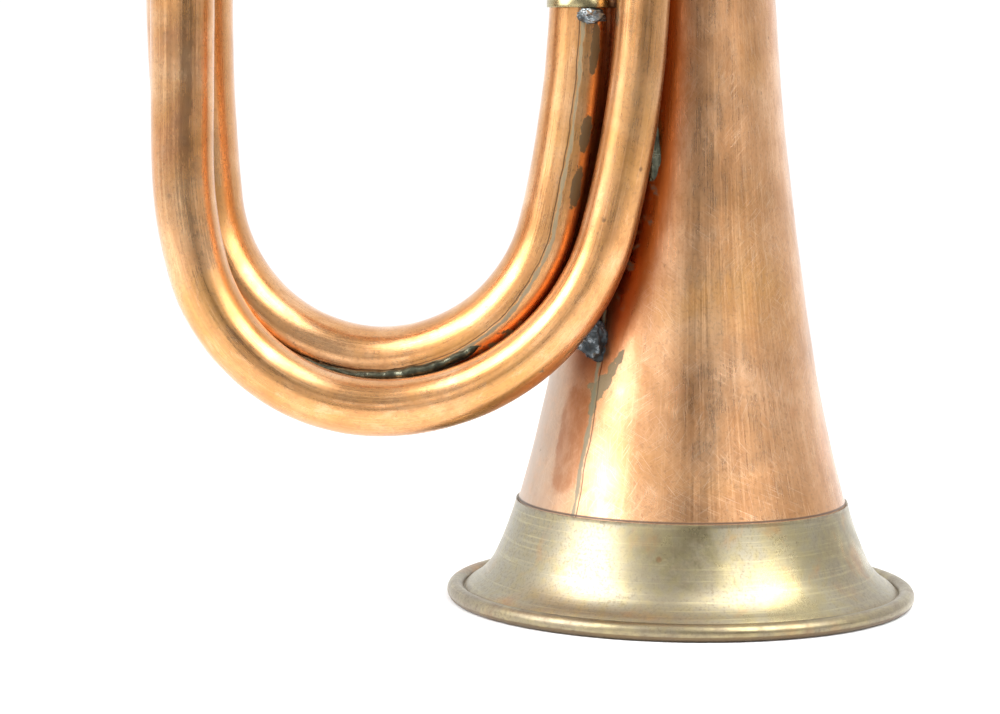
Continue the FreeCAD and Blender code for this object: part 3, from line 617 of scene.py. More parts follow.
def copper_paint(name, tones, turns, share, streak=0.4, shine=0.19, coat=0.5, seam=None,
                 edge=None):
    """Worn copper: brushed along the grain, scratched and spotted, with painted shade and
    orange painted reflection in corners.

    tones are its dark, plain and light colours.  turns are the directions of its
    scratches and share how much of it they cover.  streak is the strength of the
    brushing, shine the least roughness and coat the strength of the clear gloss.  seam
    is where on the sheet a brazed seam runs along the grain, and edge where a line of
    dirt crosses it.
    """
    paint = Paint(name, Metallic=1.0, Coat_Weight=coat, Coat_Roughness=0.28)
    flow, sheet = paint.field("flow", "Vector"), paint.sheet()
    brush = paint.noise(paint.stretch(flow, (30.0, 2600.0, 2600.0)), 1.0, 4.0, 0.65)
    wide_brush = paint.noise(paint.stretch(flow, (9.0, 420.0, 420.0)), 1.0, 3.0, 0.6)
    clouds = paint.noise(flow, 46.0, 5.0, 0.6, 0.5)
    patches = paint.noise(flow, 17.0, 4.0, 0.6, 1.0)
    mottle = paint.noise(paint.stretch(flow, (150.0, 330.0, 330.0)), 1.0, 4.0, 0.7, 0.2)
    grit = paint.noise(flow, 1300.0, 2.0, 0.6)
    scratch = scratches(paint, sheet, flow, turns, share)
    pit = paint.spots(flow, 150.0, 0.05, 0.12, 0.88, 0.9)
    spot = paint.spots(flow, 52.0, 0.08, 0.13, 0.8, 0.84)
    # painted shade and orange painted reflection where a part meets its neighbours
    crevice_shade = paint.field("grime_and_shade")
    ragged = paint.fade(paint.noise(flow, 330.0, 4.0, 0.65), 0.1, 0.9, -0.6, 0.6)
    # the darkest painted shade, in the closest corners
    deep_shade = paint.fade(paint.plus(crevice_shade, ragged), 1.1, 1.35)
    uneven = paint.fade(paint.noise(flow, 300.0, 4.0, 0.7), 0.2, 0.6, 0.55, 1.0)
    dust = paint.times(paint.field("dust"), uneven)
    brown = paint.plus(paint.field("brown"), paint.times(ragged, 0.7))
    brown = paint.times(paint.fade(brown, 0.1, 0.8),
                        paint.fade(mottle, 0.3, 0.62, 0.45, 0.9))
    # dark blots, and painted shade in the groove beside the first front bow
    stain_and_shade = paint.fade(paint.plus(paint.field("stain_and_shade"), ragged), 0.4, 0.6)
    green = paint.fade(paint.plus(paint.field("green"), ragged), 0.45, 0.62)
    tone = paint.layered(
        paint.ramp(clouds, *zip((0.3, 0.5, 0.7), tones)),
        (paint.fade(patches, 0.5, 0.7, 0.0, 0.6), rgb(194, 140, 70)),
        (paint.fade(patches, 0.46, 0.3, 0.0, 0.5), rgb(214, 150, 112)),
        (paint.fade(wide_brush, 0.45, 0.75, 0.0, streak), rgb(168, 112, 66)),
        (paint.fade(brush, 0.5, 0.8, 0.0, 0.3), rgb(246, 208, 170)),
        (paint.fade(mottle, 0.5, 0.68, 0.0, 0.4), rgb(170, 116, 68)),
        (paint.fade(mottle, 0.46, 0.3, 0.0, 0.3), rgb(232, 190, 150)),
        (paint.fade(grit, 0.5, 0.72, 0.0, 0.3), rgb(132, 92, 66)),
        (paint.times(scratch, 0.3), rgb(255, 232, 206)),
        (paint.times(pit, 0.7), rgb(96, 66, 46)),
        (paint.times(spot, 0.35), rgb(150, 118, 96)),
        # painted reflection and painted shade in corners, then the darkest painted shade
        (paint.fade(crevice_shade, 0.12, 0.8, 0.0, 0.97), rgb(136, 64, 16)),
        (paint.times(deep_shade, 0.9), rgb(52, 40, 28)),
        (paint.times(dust, 0.85), rgb(178, 160, 142)),
        (brown, rgb(164, 112, 74)),
        (paint.times(stain_and_shade, 0.9), rgb(70, 56, 28)),
        (paint.times(green, 0.8), rgb(108, 102, 74)))
    dull = paint.most(paint.most(stain_and_shade, green), deep_shade)
    apart = paint.put("ShaderNodeSeparateXYZ", {0: sheet})
    if seam is not None:
        braze, crack = brazed(paint, flow, apart.outputs["Y"], seam, ragged)
        tone = paint.layered(tone, (paint.times(braze, 0.8), rgb(112, 112, 90)),
                             (crack, rgb(62, 44, 30)))
        dull = paint.most(dull, braze)
    if edge is not None:
        dirt = paint.fade(paint.off(apart.outputs["X"], edge), 0.0001, 0.00045, 0.9, 0.0)
        tone = paint.layered(tone, (dirt, rgb(66, 46, 30)))
        dull = paint.most(dull, dirt)
    rough = paint.fade(brush, 0.3, 0.75, shine, shine + 0.1)
    for more in (paint.fade(patches, 0.35, 0.7, 0.0, 0.08),
                 paint.fade(mottle, 0.3, 0.7, -0.03, 0.06), paint.times(dust, 0.2)):
        rough = paint.plus(rough, more)
    rough = paint.plus(rough, paint.times(dull, 0.3), clamp=True)
    height = paint.plus(paint.times(brush, 0.5), paint.times(scratch, -0.4))
    height = paint.plus(height, paint.times(grit, 0.25))
    height = paint.plus(height, paint.times(mottle, 0.9))
    paint.emboss(paint.less(height, pit), 0.16, 0.0001)
    metal = paint.less(1.0, paint.times(dull, 0.7))
    metal = paint.less(metal, paint.times(dust, 0.3), clamp=True)
    paint.feed(paint.shader.inputs["Metallic"], metal)
    gloss = paint.fade(crevice_shade, 0.1, 0.7, coat, 0.05)
    paint.feed(paint.shader.inputs["Coat Weight"], gloss)
    return paint.finish(tone, rough)


def brass_paint(name, film, shine):
    """Worn brass: a grey-green film, speckled, with yellower metal where it is rubbed.

    film is how much of it is covered and shine the least roughness.
    """
    paint = Paint(name, Metallic=1.0, Coat_Weight=0.4, Coat_Roughness=0.35)
    flow = paint.field("flow", "Vector")
    speckle = paint.noise(flow, 1500.0, 2.0, 0.6)
    coarse = paint.noise(flow, 420.0, 3.0, 0.6)
    clouds = paint.noise(flow, 42.0, 5.0, 0.6, 0.6)
    brush = paint.noise(paint.stretch(flow, (1500.0, 34.0, 34.0)), 1.0, 3.0, 0.6)
    dull = paint.plus(paint.fade(clouds, 0.62, 0.4, 0.25, 1.0), paint.field("dust"),
                      clamp=True)
    dull = paint.times(dull, film)
    dark = paint.times(paint.fade(speckle, 0.5, 0.68), dull)
    spot = paint.spots(flow, 130.0, 0.05, 0.13, 0.86, 0.9)
    warm = paint.noise(flow, 62.0, 4.0, 0.6, 0.4)
    # real grime and painted shade: a browner bead, painted shade under it, in its creases and
    # on the front and right
    grime_and_shade = paint.plus(paint.field("grime_and_shade"), paint.fade(coarse, 0.1, 0.9, -0.22, 0.22))
    grime_and_shade = paint.fade(grime_and_shade, 0.1, 0.9)
    tone = paint.layered(
        paint.ramp(clouds, (0.32, rgb(134, 120, 80)), (0.5, rgb(150, 137, 96)),
                   (0.7, rgb(166, 151, 108))),
        (paint.times(dull, paint.fade(coarse, 0.3, 0.62, 0.4, 1.0)), rgb(142, 136, 118)),
        (paint.times(dark, 0.6), rgb(118, 106, 84)),
        (paint.fade(brush, 0.5, 0.8, 0.0, 0.3), rgb(226, 212, 164)),
        (paint.times(spot, 0.6), rgb(138, 84, 40)),
        (paint.fade(warm, 0.55, 0.72, 0.0, 0.45), rgb(178, 122, 60)),
        (paint.times(grime_and_shade, 0.85), rgb(104, 82, 54)))
    rough = paint.fade(dull, 0.0, 1.0, shine, shine + 0.16)
    rough = paint.plus(rough, paint.fade(speckle, 0.4, 0.7, 0.0, 0.08))
    rough = paint.plus(rough, paint.times(grime_and_shade, 0.12), clamp=True)
    height = paint.plus(paint.times(speckle, 0.6), paint.times(brush, 0.5))
    paint.emboss(paint.less(height, spot), 0.18, 0.0001)
    return paint.finish(tone, rough)


def solder_paint(name, low, middle, high):
    """Soft solder: grey, with darker pits and a few bright facets."""
    paint = Paint(name, Metallic=0.85)
    place = paint.place()
    clouds = paint.noise(place, 330.0, 4.0, 0.65)
    grit = paint.noise(place, 1300.0, 3.0, 0.6)
    paint.emboss(paint.plus(clouds, paint.times(grit, 0.4)), 0.6, 0.0004)
    return paint.finish(paint.ramp(clouds, (0.32, low), (0.52, middle), (0.72, high)),
                        paint.fade(clouds, 0.3, 0.7, 0.5, 0.2))


def wire_paint(name, low, high):
    """Drawn wire: fine lines along the wire over a slightly uneven tone."""
    paint = Paint(name, Metallic=1.0)
    flow = paint.field("flow", "Vector")
    drawn = paint.noise(paint.stretch(flow, (60.0, 2600.0, 2600.0)), 1.0, 3.0)
    clouds = paint.noise(flow, 220.0, 3.0)
    paint.emboss(drawn, 0.15, 0.0001)
    return paint.finish(paint.ramp(clouds, (0.3, low), (0.7, high)),
                        paint.fade(drawn, 0.3, 0.7, 0.22, 0.4))


# where the garland's top edge crosses the bell, and how far that is along the bell's sheet
GARLAND_EDGE = 24.95
edge_run = np.interp(GARLAND_EDGE, bell_outline[:, 1], run_along(bell_outline)) * MM
# the radius at which the two sheets are laid flat
BELL_REACH, GARLAND_REACH = 30.0, 46.0
# the turns of the brazed seams: the bell's in degrees, the second front bow's in radians
BELL_SEAM, FAR_SEAM = 141.2, 3.0
TUBE_TONES = (rgb(186, 130, 70), rgb(206, 150, 94), rgb(222, 176, 130))
BELL_TONES = (rgb(176, 126, 80), rgb(204, 152, 106), rgb(224, 178, 136))
TUBE_SCRATCHES, BELL_SCRATCHES = (0.35, -0.25), (0.6, -0.45, 1.05, 0.12, -0.9)
tube_copper = copper_paint("tube_copper", TUBE_TONES, TUBE_SCRATCHES, 0.0)
seamed_copper = copper_paint("seamed_copper", TUBE_TONES, TUBE_SCRATCHES, 0.0,
                             seam=FAR_SEAM * far.radius.mean() * MM)
bell_copper = copper_paint("bell_copper", BELL_TONES, BELL_SCRATCHES, 0.2, 0.3, 0.23, 0.5,
                           math.radians(BELL_SEAM) * BELL_REACH * MM, edge_run)
garland_brass = brass_paint("garland_brass", 0.9, 0.22)
fitting_brass = brass_paint("fitting_brass", 0.4, 0.24)
solder = solder_paint("solder_grey", rgb(58, 62, 64), rgb(104, 110, 112),
                      rgb(176, 182, 184))
dark_solder = solder_paint("solder_dark", rgb(34, 36, 38), rgb(62, 66, 68),
                           rgb(132, 138, 142))
seam_solder = solder_paint("solder_green", rgb(38, 38, 30), rgb(72, 72, 58),
                           rgb(112, 112, 96))
ring_brass = wire_paint("ring_brass", rgb(168, 142, 84), rgb(216, 190, 122))
iron_wire = wire_paint("iron_wire", rgb(70, 66, 62), rgb(110, 106, 100))


def dress(piece, material, *nodes):
    """Give a piece its material and let it stand for its CAD nodes."""
    piece.data.materials.clear()
    piece.data.materials.append(material)
    for node in nodes:
        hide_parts(node)
    return piece


# ---------------- the bows and the mouthpipe
# how far the painted shade and painted reflection reach round a tube's neighbours, and
# the painted shade in the groove, which is below a height and fades over another
CREVICE_SHADE_WIDTH, GROOVE_SHADE_WIDTH, GROOVE_SHADE_TOP, GROOVE_SHADE_FADE = 3.4, 1.8, 74.0, 8.0


def tube_fields(tube, others, blots):
    """Numbers for the copper paint on a bow: painted shade and reflection near its neighbours,
    and blots with painted shade in the groove.
    """
    reach = tube.radius.mean()

    def where(points):
        """How far along the tube each ring of points is."""
        middles = points.mean(axis=1)
        away = np.linalg.norm(middles[:, None] - tube.points[None], axis=2)
        return tube.run[away.argmin(1)][:, None]

    # painted shade and painted reflection near the neighbouring tubes and the bell
    def grime_and_shade(points):
        total = np.zeros(points.shape[:2])
        for other in others:
            gap = bell_gap(points) if other == "bell" else other.gap(points)
            total = np.maximum(total, crevice(gap, CREVICE_SHADE_WIDTH))
        return total

    def stain_and_shade(points):
        total = np.zeros(points.shape[:2])
        for run, turn, half_length, half_width in blots:
            along = (where(points) - run) / half_length
            over = (tube.turn - turn) * reach / half_width
            total = np.maximum(total, 1.3 - along ** 2 - over[None, :] ** 2)
        # painted shade in the groove beside the first front bow, below a height
        low = np.clip((GROOVE_SHADE_TOP - points[..., 2]) / GROOVE_SHADE_FADE, 0, 1)
        deep_shade = 1.1 * crevice(near.gap(points), GROOVE_SHADE_WIDTH) * low
        return np.clip(np.maximum(total, deep_shade), 0, 1)

    return {"grime_and_shade": grime_and_shade, "stain_and_shade": stain_and_shade} if blots else {"grime_and_shade": grime_and_shade}


def run_at(tube, high):
    """Station along a tube where its right leg passes a height."""
    half = len(tube.points) // 2
    index = np.abs(tube.points[half:, 2] - high).argmin()
    return tube.run[half:][index]


# dark blots in the groove: height, turn, half length and half width in millimetres
BLOTS = [(134.5, 2.58, 7.0, 1.5), (116.0, 2.6, 5.2, 1.9), (102.5, 2.62, 6.2, 1.6)]
far_blots = [(run_at(far, high), *rest) for high, *rest in BLOTS]
TUBES = [("first_front_bow", near, [far, "bell"], (), tube_copper),
         ("second_front_bow", far, [near, "bell"], far_blots, seamed_copper),
         ("first_rear_bow", first_rear, [second_rear, "bell"], (), tube_copper),
         ("second_rear_bow", second_rear, [first_rear], (), tube_copper),
         ("mouthpipe", mouthpipe, [second_rear], (), tube_copper)]
for number, (node, tube, neighbours, blots, paint) in enumerate(TUBES):
    piece = tube_piece(node + "_tube", tube, tube_fields(tube, neighbours, blots),
                       seed=number + 1)
    dress(piece, paint, node)

# ---------------- bell and garland
BELL_AROUND = 256
SEAM_TURN = math.radians(BELL_SEAM + 90.0)
# the brown stain, from the seam and from the rim, and its half width and half height
STAIN_ASIDE, STAIN_HIGH, STAIN_WIDE, STAIN_TALL = -5.2, 42.0, 5.8, 13.5
# blots of verdigris: millimetres across from the seam, height, half width, half height
VERDIGRIS = [(6.0, 62.5, 1.3, 2.2), (4.2, 59.5, 1.9, 1.9), (2.6, 56.5, 2.9, 2.3),
             (0.8, 53.5, 2.4, 2.4), (0.2, 50.0, 1.4, 2.2), (-1.4, 55.0, 1.4, 1.0)]


def flat_turn(turn, centre):
    """Angle from centre, between minus and plus half a turn."""
    return (turn - centre + math.pi) % TURN - math.pi


def bell_piece():
    """The bell's sheet, with shallow dents, the places of its stains, and painted shade and
    reflection beside the front bows.
    """
    outer = bell_outline
    inner = offset_outline(outer, COPPER_WALL)[::-3]
    outline = np.concatenate([outer, inner])
    rings, turn = spin(outline, BELL_AXIS, BELL_AROUND)
    count = len(outer)
    out = rings[:count]
    push = ripple(out, 26.0, 0.22, 8) + ripple(out, 9.0, 0.05, 9) - 0.13
    ends = np.clip((outer[:, 1] - 26.0) / 12.0, 0, 1)
    ends *= np.clip((BELL_THROAT[1] - 10.0 - outer[:, 1]) / 12.0, 0, 1)
    push *= ends[:, None]
    rings[:count, :, 0] += push * np.cos(turn)
    rings[:count, :, 1] += push * np.sin(turn)
    flow, wide = round_maps(run_along(outline), turn, BELL_REACH)
    high = rings[..., 2]
    over_seam = flat_turn(turn[None, :], SEAM_TURN) * outline[:, :1]
    shown = (np.arange(len(outline)) < count)[:, None]
    # painted shade and orange painted reflection beside the first front bow, and a narrower
    # band beside the second
    grime_and_shade = np.maximum(crevice(near.gap(rings) - 3.0, 6.0),
                       crevice(far.gap(rings), 2.0)) * shown
    patch = np.zeros_like(high)
    for across, up, half_wide, half_high in VERDIGRIS:
        patch = np.maximum(patch, 1.15 - ((over_seam - across) / half_wide) ** 2
                           - ((high - up) / half_high) ** 2)
    green = np.clip(patch, 0, 1) * shown
    box = (1 - ((over_seam - STAIN_ASIDE) / STAIN_WIDE) ** 4
           - ((high - STAIN_HIGH) / STAIN_TALL) ** 4)
    brown = np.clip(box * 1.2, 0, 1) * shown
    left = flat_turn(turn[None, :], FRONT - math.radians(78.0))
    dust = np.exp(-(left / 0.62) ** 2) * np.clip((84.0 - high) / 28.0, 0, 1) * shown
    fields = {"grime_and_shade": grime_and_shade, "green": green, "brown": brown, "dust": dust}
    return grid_piece("bell_flare_sheet", rings, flow, wide, fields)


dress(bell_piece(), bell_copper, "bell_flare")


# where the bead begins and the band ends, the top of the bead's underside, which is
# painted dark as shade, and the height of the garland's lip
BEAD_START, BAND_END, BEAD_UNDERSIDE, LIP_HIGH = 53.4, 53.2, 1.4, 24.7


def garland_piece():
    """The band and its rolled bead, as one strip of sheet that ends inside the roll."""
    band = spun_outline([GARLAND_FOOT, GARLAND_WAIST, GARLAND_TOP], GARLAND_LEAN, 2, 0.9)
    start = math.pi - 0.34
    sweep = np.linspace(start, start - TURN + 0.5, 44)
    bead = np.column_stack([BEAD_OUT + BEAD_RADIUS * np.cos(sweep),
                            BEAD_HIGH + BEAD_RADIUS * np.sin(sweep)])
    bead[:, 1] = np.maximum(bead[:, 1], 0.0)
    lip = band[-1:] + [0.02, 0.12]
    outer = np.concatenate([bead[::-1], band[2:], lip])
    inner_band = offset_outline(band[2:], BRASS_WALL)[::-1]
    inner_bead = np.column_stack(
        [BEAD_OUT + (BEAD_RADIUS - 0.45) * np.cos(sweep[::2]),
         BEAD_HIGH + (BEAD_RADIUS - 0.45) * np.sin(sweep[::2])])
    outline = np.concatenate([outer, inner_band, inner_bead])
    rings, turn = spin(outline, BELL_AXIS, BELL_AROUND)
    flow, wide = round_maps(run_along(outline), turn, GARLAND_REACH)
    high, out = outline[:, 1], outline[:, 0]
    on_bead = out > BEAD_START
    # a browner bead and a slightly dull band, with painted shade under the bead, in the crease
    # where bead and band meet and under the lip
    grime_and_shade = np.where(on_bead, 0.42, 0.1)
    grime_and_shade = np.where(on_bead & (high < BEAD_UNDERSIDE), 0.95, grime_and_shade)
    grime_and_shade = np.maximum(grime_and_shade, 0.9 * crevice(np.abs(out - BAND_END), 0.7))
    grime_and_shade = np.maximum(grime_and_shade, 0.6 * crevice(LIP_HIGH - high, 0.4))
    left = flat_turn(turn[None, :], FRONT - math.radians(62.0))
    dust = np.exp(-(left / 0.7) ** 2) * np.ones_like(grime_and_shade)[:, None]
    # the front and the right are darker than the rest
    front = flat_turn(turn, FRONT)
    right = flat_turn(turn, FRONT + math.radians(62.0))
    shadow = 0.3 * np.exp(-(front / 0.3) ** 4) + 0.34 * np.exp(-(right / 0.26) ** 4)
    fields = {"grime_and_shade": np.maximum(grime_and_shade[:, None], shadow[None, :]), "dust": dust}
    return grid_piece("bell_garland_band", rings, flow, wide, fields)


dress(garland_piece(), garland_brass, "bell_garland")
dress(hoop("rim_wire_hoop", (0.0, 0.0, BEAD_HIGH), UP, BEAD_OUT, RIM_WIRE,
           around=256), iron_wire, "rim_wire")

# ---------------- sleeves
# label, leg, height of the lower end, bore
SLEEVES = [("mouthpipe_sleeve", NEAR_RIGHT, 151.0, 6.4),
           ("first_front_sleeve", NEAR_LEFT, 150.0, 7.8),
           ("second_front_sleeve", FAR_RIGHT, 144.5, 8.4),
           ("second_rear_sleeve", FAR_LEFT, 171.0, 11.3),
           ("bell_sleeve", BELL_AXIS, 172.0, 19.35)]
# a sleeve's rounded edge and turned line: (depth, distance from the end)
SLEEVE_EDGE = [(0.1, 0.0), (0.0, 0.12), (0.0, 1.6), (0.12, 1.8), (0.12, 2.1), (0.0, 2.3)]
FILLET, FILLET_WOBBLE = 0.42, 0.5


def sleeve_band(label, leg, low, bore):
    wall = bore + SLEEVE_WALL
    lower = [(wall - depth, away) for depth, away in SLEEVE_EDGE]
    upper = [(out, SLEEVE_LENGTH - away) for out, away in lower[::-1]]
    outline = [(bore, 0.0), *lower, *upper, (bore, SLEEVE_LENGTH)]
    dress(lathe(label + "_band", finely(outline), (*leg, low), around=112),
          fitting_brass, label)


def sleeve_fillet(label, edge, leg, high, bore, seed):
    """The thin fillet of solder at one edge of a sleeve."""
    dress(hoop("%s_solder_%s" % (label, edge), (*leg, high), UP, bore + 0.05,
               FILLET, around=200, wobble=FILLET_WOBBLE, seed=seed), solder)


for number, (label, leg, low, bore) in enumerate(SLEEVES):
    sleeve_band(label, leg, low, bore)
    sleeve_fillet(label, "low", leg, low, bore, number)
    sleeve_fillet(label, "top", leg, low + SLEEVE_LENGTH, bore, number + 9)

# ---------------- receiver and mouthpiece
def bulge(low, high, middle, count=10):
    """Points of the arc through low, middle and high, without its last point."""
    low, middle, high = (np.asarray(each, float) for each in (low, middle, high))
    first, second = middle - low, high - low
    double = 2 * (first[0] * second[1] - first[1] * second[0])
    one, two = first @ first, second @ second
    centre = low + np.array([second[1] * one - first[1] * two,
                             first[0] * two - second[0] * one]) / double
    radius = np.linalg.norm(low - centre)
    angles = [math.atan2(*(each - centre)[::-1]) for each in (low, middle, high)]
    sweep = (angles[2] - angles[0]) % TURN
    if (angles[1] - angles[0]) % TURN > sweep:
        sweep -= TURN
    return [centre + radius * np.array([math.cos(angles[0] + sweep * k / count),
                                        math.sin(angles[0] + sweep * k / count)])
            for k in range(count)]


def straight(start, end):
    """Points from start towards end, without the last."""
    return line_run(start, end)[:-1]


# the receiver's pipe bore, socket and outside, and its two beads
PIPE_BORE, SOCKET_FOOT, SOCKET_MOUTH, RECEIVER_OUT = 5.85, 4.96, 5.505, 7.0
receiver_outline = (straight((PIPE_BORE, 252.0), (PIPE_BORE, 262.0))
                    + straight((SOCKET_FOOT, 262.0), (SOCKET_MOUTH, 284.0))
                    + [(SOCKET_MOUTH, 284.0), (RECEIVER_OUT, 284.0)]
                    + bulge((RECEIVER_OUT, 284.0), (RECEIVER_OUT, 280.0), (8.3, 282.0))[1:]
                    + straight((RECEIVER_OUT, 280.0), (RECEIVER_OUT, 255.0))
                    + bulge((RECEIVER_OUT, 255.0), (RECEIVER_OUT, 252.0), (7.7, 253.5))
                    + [(RECEIVER_OUT, 252.0)])
dress(lathe("mouthpiece_receiver_turned", receiver_outline, (*NEAR_RIGHT, 0.0),
            crease=40.0), fitting_brass, "mouthpiece_receiver")

# radius and height of the mouthpiece's corners, from its backbore up and over the rim
BACKBORE, THROAT_LOW, THROAT_HIGH = (4.1, 262.6), (2.0, 305.0), (2.0, 309.0)
CUP_EDGE, RIM_CREST = (8.5, 327.0), (10.4, 328.4)
RIM_OUT, RIM_UNDER = (12.8, 326.4), (12.3, 324.6)
NECK_HIGH, NECK_LOW, SHANK_END = (5.98, 307.4), (5.98, 305.0), (4.92, 262.6)
mouthpiece_outline = (straight(BACKBORE, THROAT_LOW) + straight(THROAT_LOW, THROAT_HIGH)
                      + bulge(THROAT_HIGH, CUP_EDGE, (5.27, 316.56), 24)
                      + bulge(CUP_EDGE, RIM_CREST, (8.85, 327.95), 8)
                      + bulge(RIM_CREST, RIM_OUT, (12.25, 327.8), 10)
                      + straight(RIM_OUT, RIM_UNDER)
                      + bulge(RIM_UNDER, NECK_HIGH, (8.448, 317.592), 24)
                      + bulge(NECK_HIGH, NECK_LOW, (7.0, 306.2), 8)
                      + line_run(NECK_LOW, SHANK_END))
dress(lathe("mouthpiece_turned", mouthpiece_outline,
            (*NEAR_RIGHT, 0.0), body="mouthpiece", around=128, crease=40.0),
      fitting_brass, "mouthpiece")

# ---------------- stays and solder
# a stay's turned post: the bare part's radius and length, and the foot's
POST_RADIUS, POST_BARE, POST_FOOT, POST_FOOT_LENGTH = 2.4, 2.4, 4.6, 1.2
# the far foot stops this far inside the second tube
POST_SUNK = 3.0
# (radius, distance towards the near tube) round the near foot
FOOT_OUTLINE = [(0.05, 1.6), (POST_FOOT - 0.3, 1.6), (POST_FOOT, 1.3), (POST_FOOT, 0.5),
                (POST_FOOT - 0.4, 0.0), (POST_RADIUS + 0.5, -0.15), (POST_RADIUS, -0.6)]


def post(name, start, end, first_radius, second_radius, node):
    """A turned post between two tubes' axes; its feet run on inside the tubes."""
    end = end - unit(end - start) * (second_radius - POST_SUNK)
    length = np.linalg.norm(end - start)
    first = first_radius + POST_FOOT_LENGTH
    second = first + POST_BARE
    outline = [(out, first - away) for out, away in FOOT_OUTLINE]
    outline += [(out, second + away) for out, away in FOOT_OUTLINE[:2:-1]]
    outline += [(POST_FOOT, length), (0.05, length)]
    dress(lathe(name, finely(outline, 0.5), start, end - start, around=64),
          fitting_brass, node)


STAY_HIGH = 214.0
rear_radius = np.linalg.norm(FAR_LEFT) / 2
rear_way = unit([-FAR_LEFT[0], -FAR_LEFT[1], 0.0])
rear_turn = math.asin((STAY_HIGH - SECOND_REAR_SPRING) / rear_radius)
on_rear = rear_way * (-rear_radius * (1 - math.cos(rear_turn))) + [0.0, 0.0, STAY_HIGH]
post("mouthpipe_stay_post", np.array([*NEAR_RIGHT, STAY_HIGH]), on_rear, NEAR_RADII[1],
     17.0, "mouthpipe_stay")
first_crown = np.array([*np.add(FAR_RIGHT, NEAR_LEFT) / 2,
                        FIRST_REAR_SPRING + math.dist(FAR_RIGHT, NEAR_LEFT) / 2])
second_crown = np.array([*np.divide(FAR_LEFT, 2), SECOND_REAR_SPRING + rear_radius])
post("rear_bow_stay_post", first_crown, second_crown, FAR_RADII[1], 14.9, "rear_bow_stay")

# lumps of solder between the first front bow and the bell
dress(lump("bell_stay_solder", (-22.4, -25.0, 68.0),
           ((5.0, 2.2, -1.6), (1.2, -2.3, 0.6), (-1.2, 0.8, 6.0)), 0.26, 4, 0.1),
      dark_solder, "bell_stay")
dress(lump("neck_solder_fillet", (-7.9, -23.9, 111.5),
           ((2.1, 0.4, -0.3), (0.3, -1.3, 0.2), (-0.9, -1.2, 10.6)), 0.2, 6, 0.05),
      seam_solder, "neck_solder")
dress(lump("second_front_sleeve_blob", (-22.2, -26.2, 142.6),
           ((3.0, 1.2, -0.3), (0.4, -1.4, 0.2), (0.2, 0.3, 1.7)), 0.35, 9, 0.15), solder)


# the rod of solder in the groove: its arc's centre, radius and sweep, its own radius, and
# where and over how many degrees it is thickest
ROD_CENTRE, ROD_BEND, ROD_SWEEP, ROD_RADIUS = (-73.4, -24.3, 100.4), 44.0, 76.0, 1.15
ROD_THICKEST, ROD_SPREAD = 14.0, 13.0
ROD_RINGS, ROD_SIDES, ROD_TAPER, ROD_SEED = 120, 20, 10, 3


def solder_rod(name):
    """Solder run round the groove between the front bows: a rod of uneven thickness."""
    swing = np.radians(np.linspace(-ROD_SWEEP / 2, ROD_SWEEP / 2, ROD_RINGS))
    spoke = np.column_stack([np.sin(swing), np.zeros_like(swing), -np.cos(swing)])
    middle = np.asarray(ROD_CENTRE, float) + ROD_BEND * spoke
    small = np.arange(ROD_SIDES) / ROD_SIDES * TURN
    ring = np.arange(ROD_RINGS)
    from_end = np.minimum(ring, ring[::-1])
    taper = np.sqrt(np.clip(from_end / ROD_TAPER, 0.01, 1))
    way = (spoke[:, None] * np.cos(small)[None, :, None]
           + np.array([0.0, -1.0, 0.0]) * np.sin(small)[None, :, None])
    rings = middle[:, None] + way * ROD_RADIUS
    thick = 0.6 + 0.6 * np.exp(-((np.degrees(swing) - ROD_THICKEST) / ROD_SPREAD) ** 2)
    size = ROD_RADIUS * (thick[:, None] + ripple(rings, 2.2, 0.3, ROD_SEED)
                         + ripple(rings, 9.0, 0.5, ROD_SEED + 1))
    rings = middle[:, None] + way * (size * taper[:, None])[..., None]
    return grid_piece(name, rings, wrap=False, crease=60.0)


dress(solder_rod("bow_seam_solder_rod"), seam_solder, "bow_seam_solder")

# ---------------- lanyard eyelets and rings
# (radius, distance out from the tube) round an eyelet's foot
EYELET_FOOT = [(0.05, -1.2), (3.2, -1.2), (3.2, 0.75), (2.95, 1.05), (1.5, 1.1), (1.1, 1.5),
               (1.0, 2.4), (0.05, 2.4)]


def lanyard(side, label, tube_radius):
    """An eyelet on the second rear bow's outside, and the ring that hangs in it."""
    swing_out = rear_radius + tube_radius
    lift = math.radians(EYELET_TURN)
    out = rear_way * side
    middle = np.array([*np.divide(FAR_LEFT, 2), SECOND_REAR_SPRING])
    surface = (middle + out * (swing_out * math.cos(lift))
               + [0.0, 0.0, swing_out * math.sin(lift)])
    hole = surface + out * EYELET_STAND
    dress(hoop("lanyard_eyelet_%s_loop" % label, hole, np.cross(UP, rear_way),
               EYELET_HOLE + EYELET_WIRE, EYELET_WIRE, around=64), fitting_brass,
          "lanyard_eyelet_" + label)
    dress(lathe("lanyard_eyelet_%s_foot" % label, finely(EYELET_FOOT, 0.4),
                surface, out, around=64), fitting_brass)
    dress(hoop("lanyard_ring_%s_hoop" % label,
               hole - np.array([0.0, 0.0, RING_RADIUS]), out, RING_RADIUS, RING_WIRE,
               body="ring_" + label), ring_brass, "lanyard_ring_" + label)


lanyard(-1, "left", 11.4)
lanyard(1, "right", 18.3)

# ---------------- stage, light, camera
FOCAL, SENSOR = 108.0, 36.0
CAMERA_PLACE = Vector((12.945, -733.16, 135.70)) * MM
CAMERA_YAW, CAMERA_PITCH, CAMERA_ROLL = -4.534, 5.951, 0.56


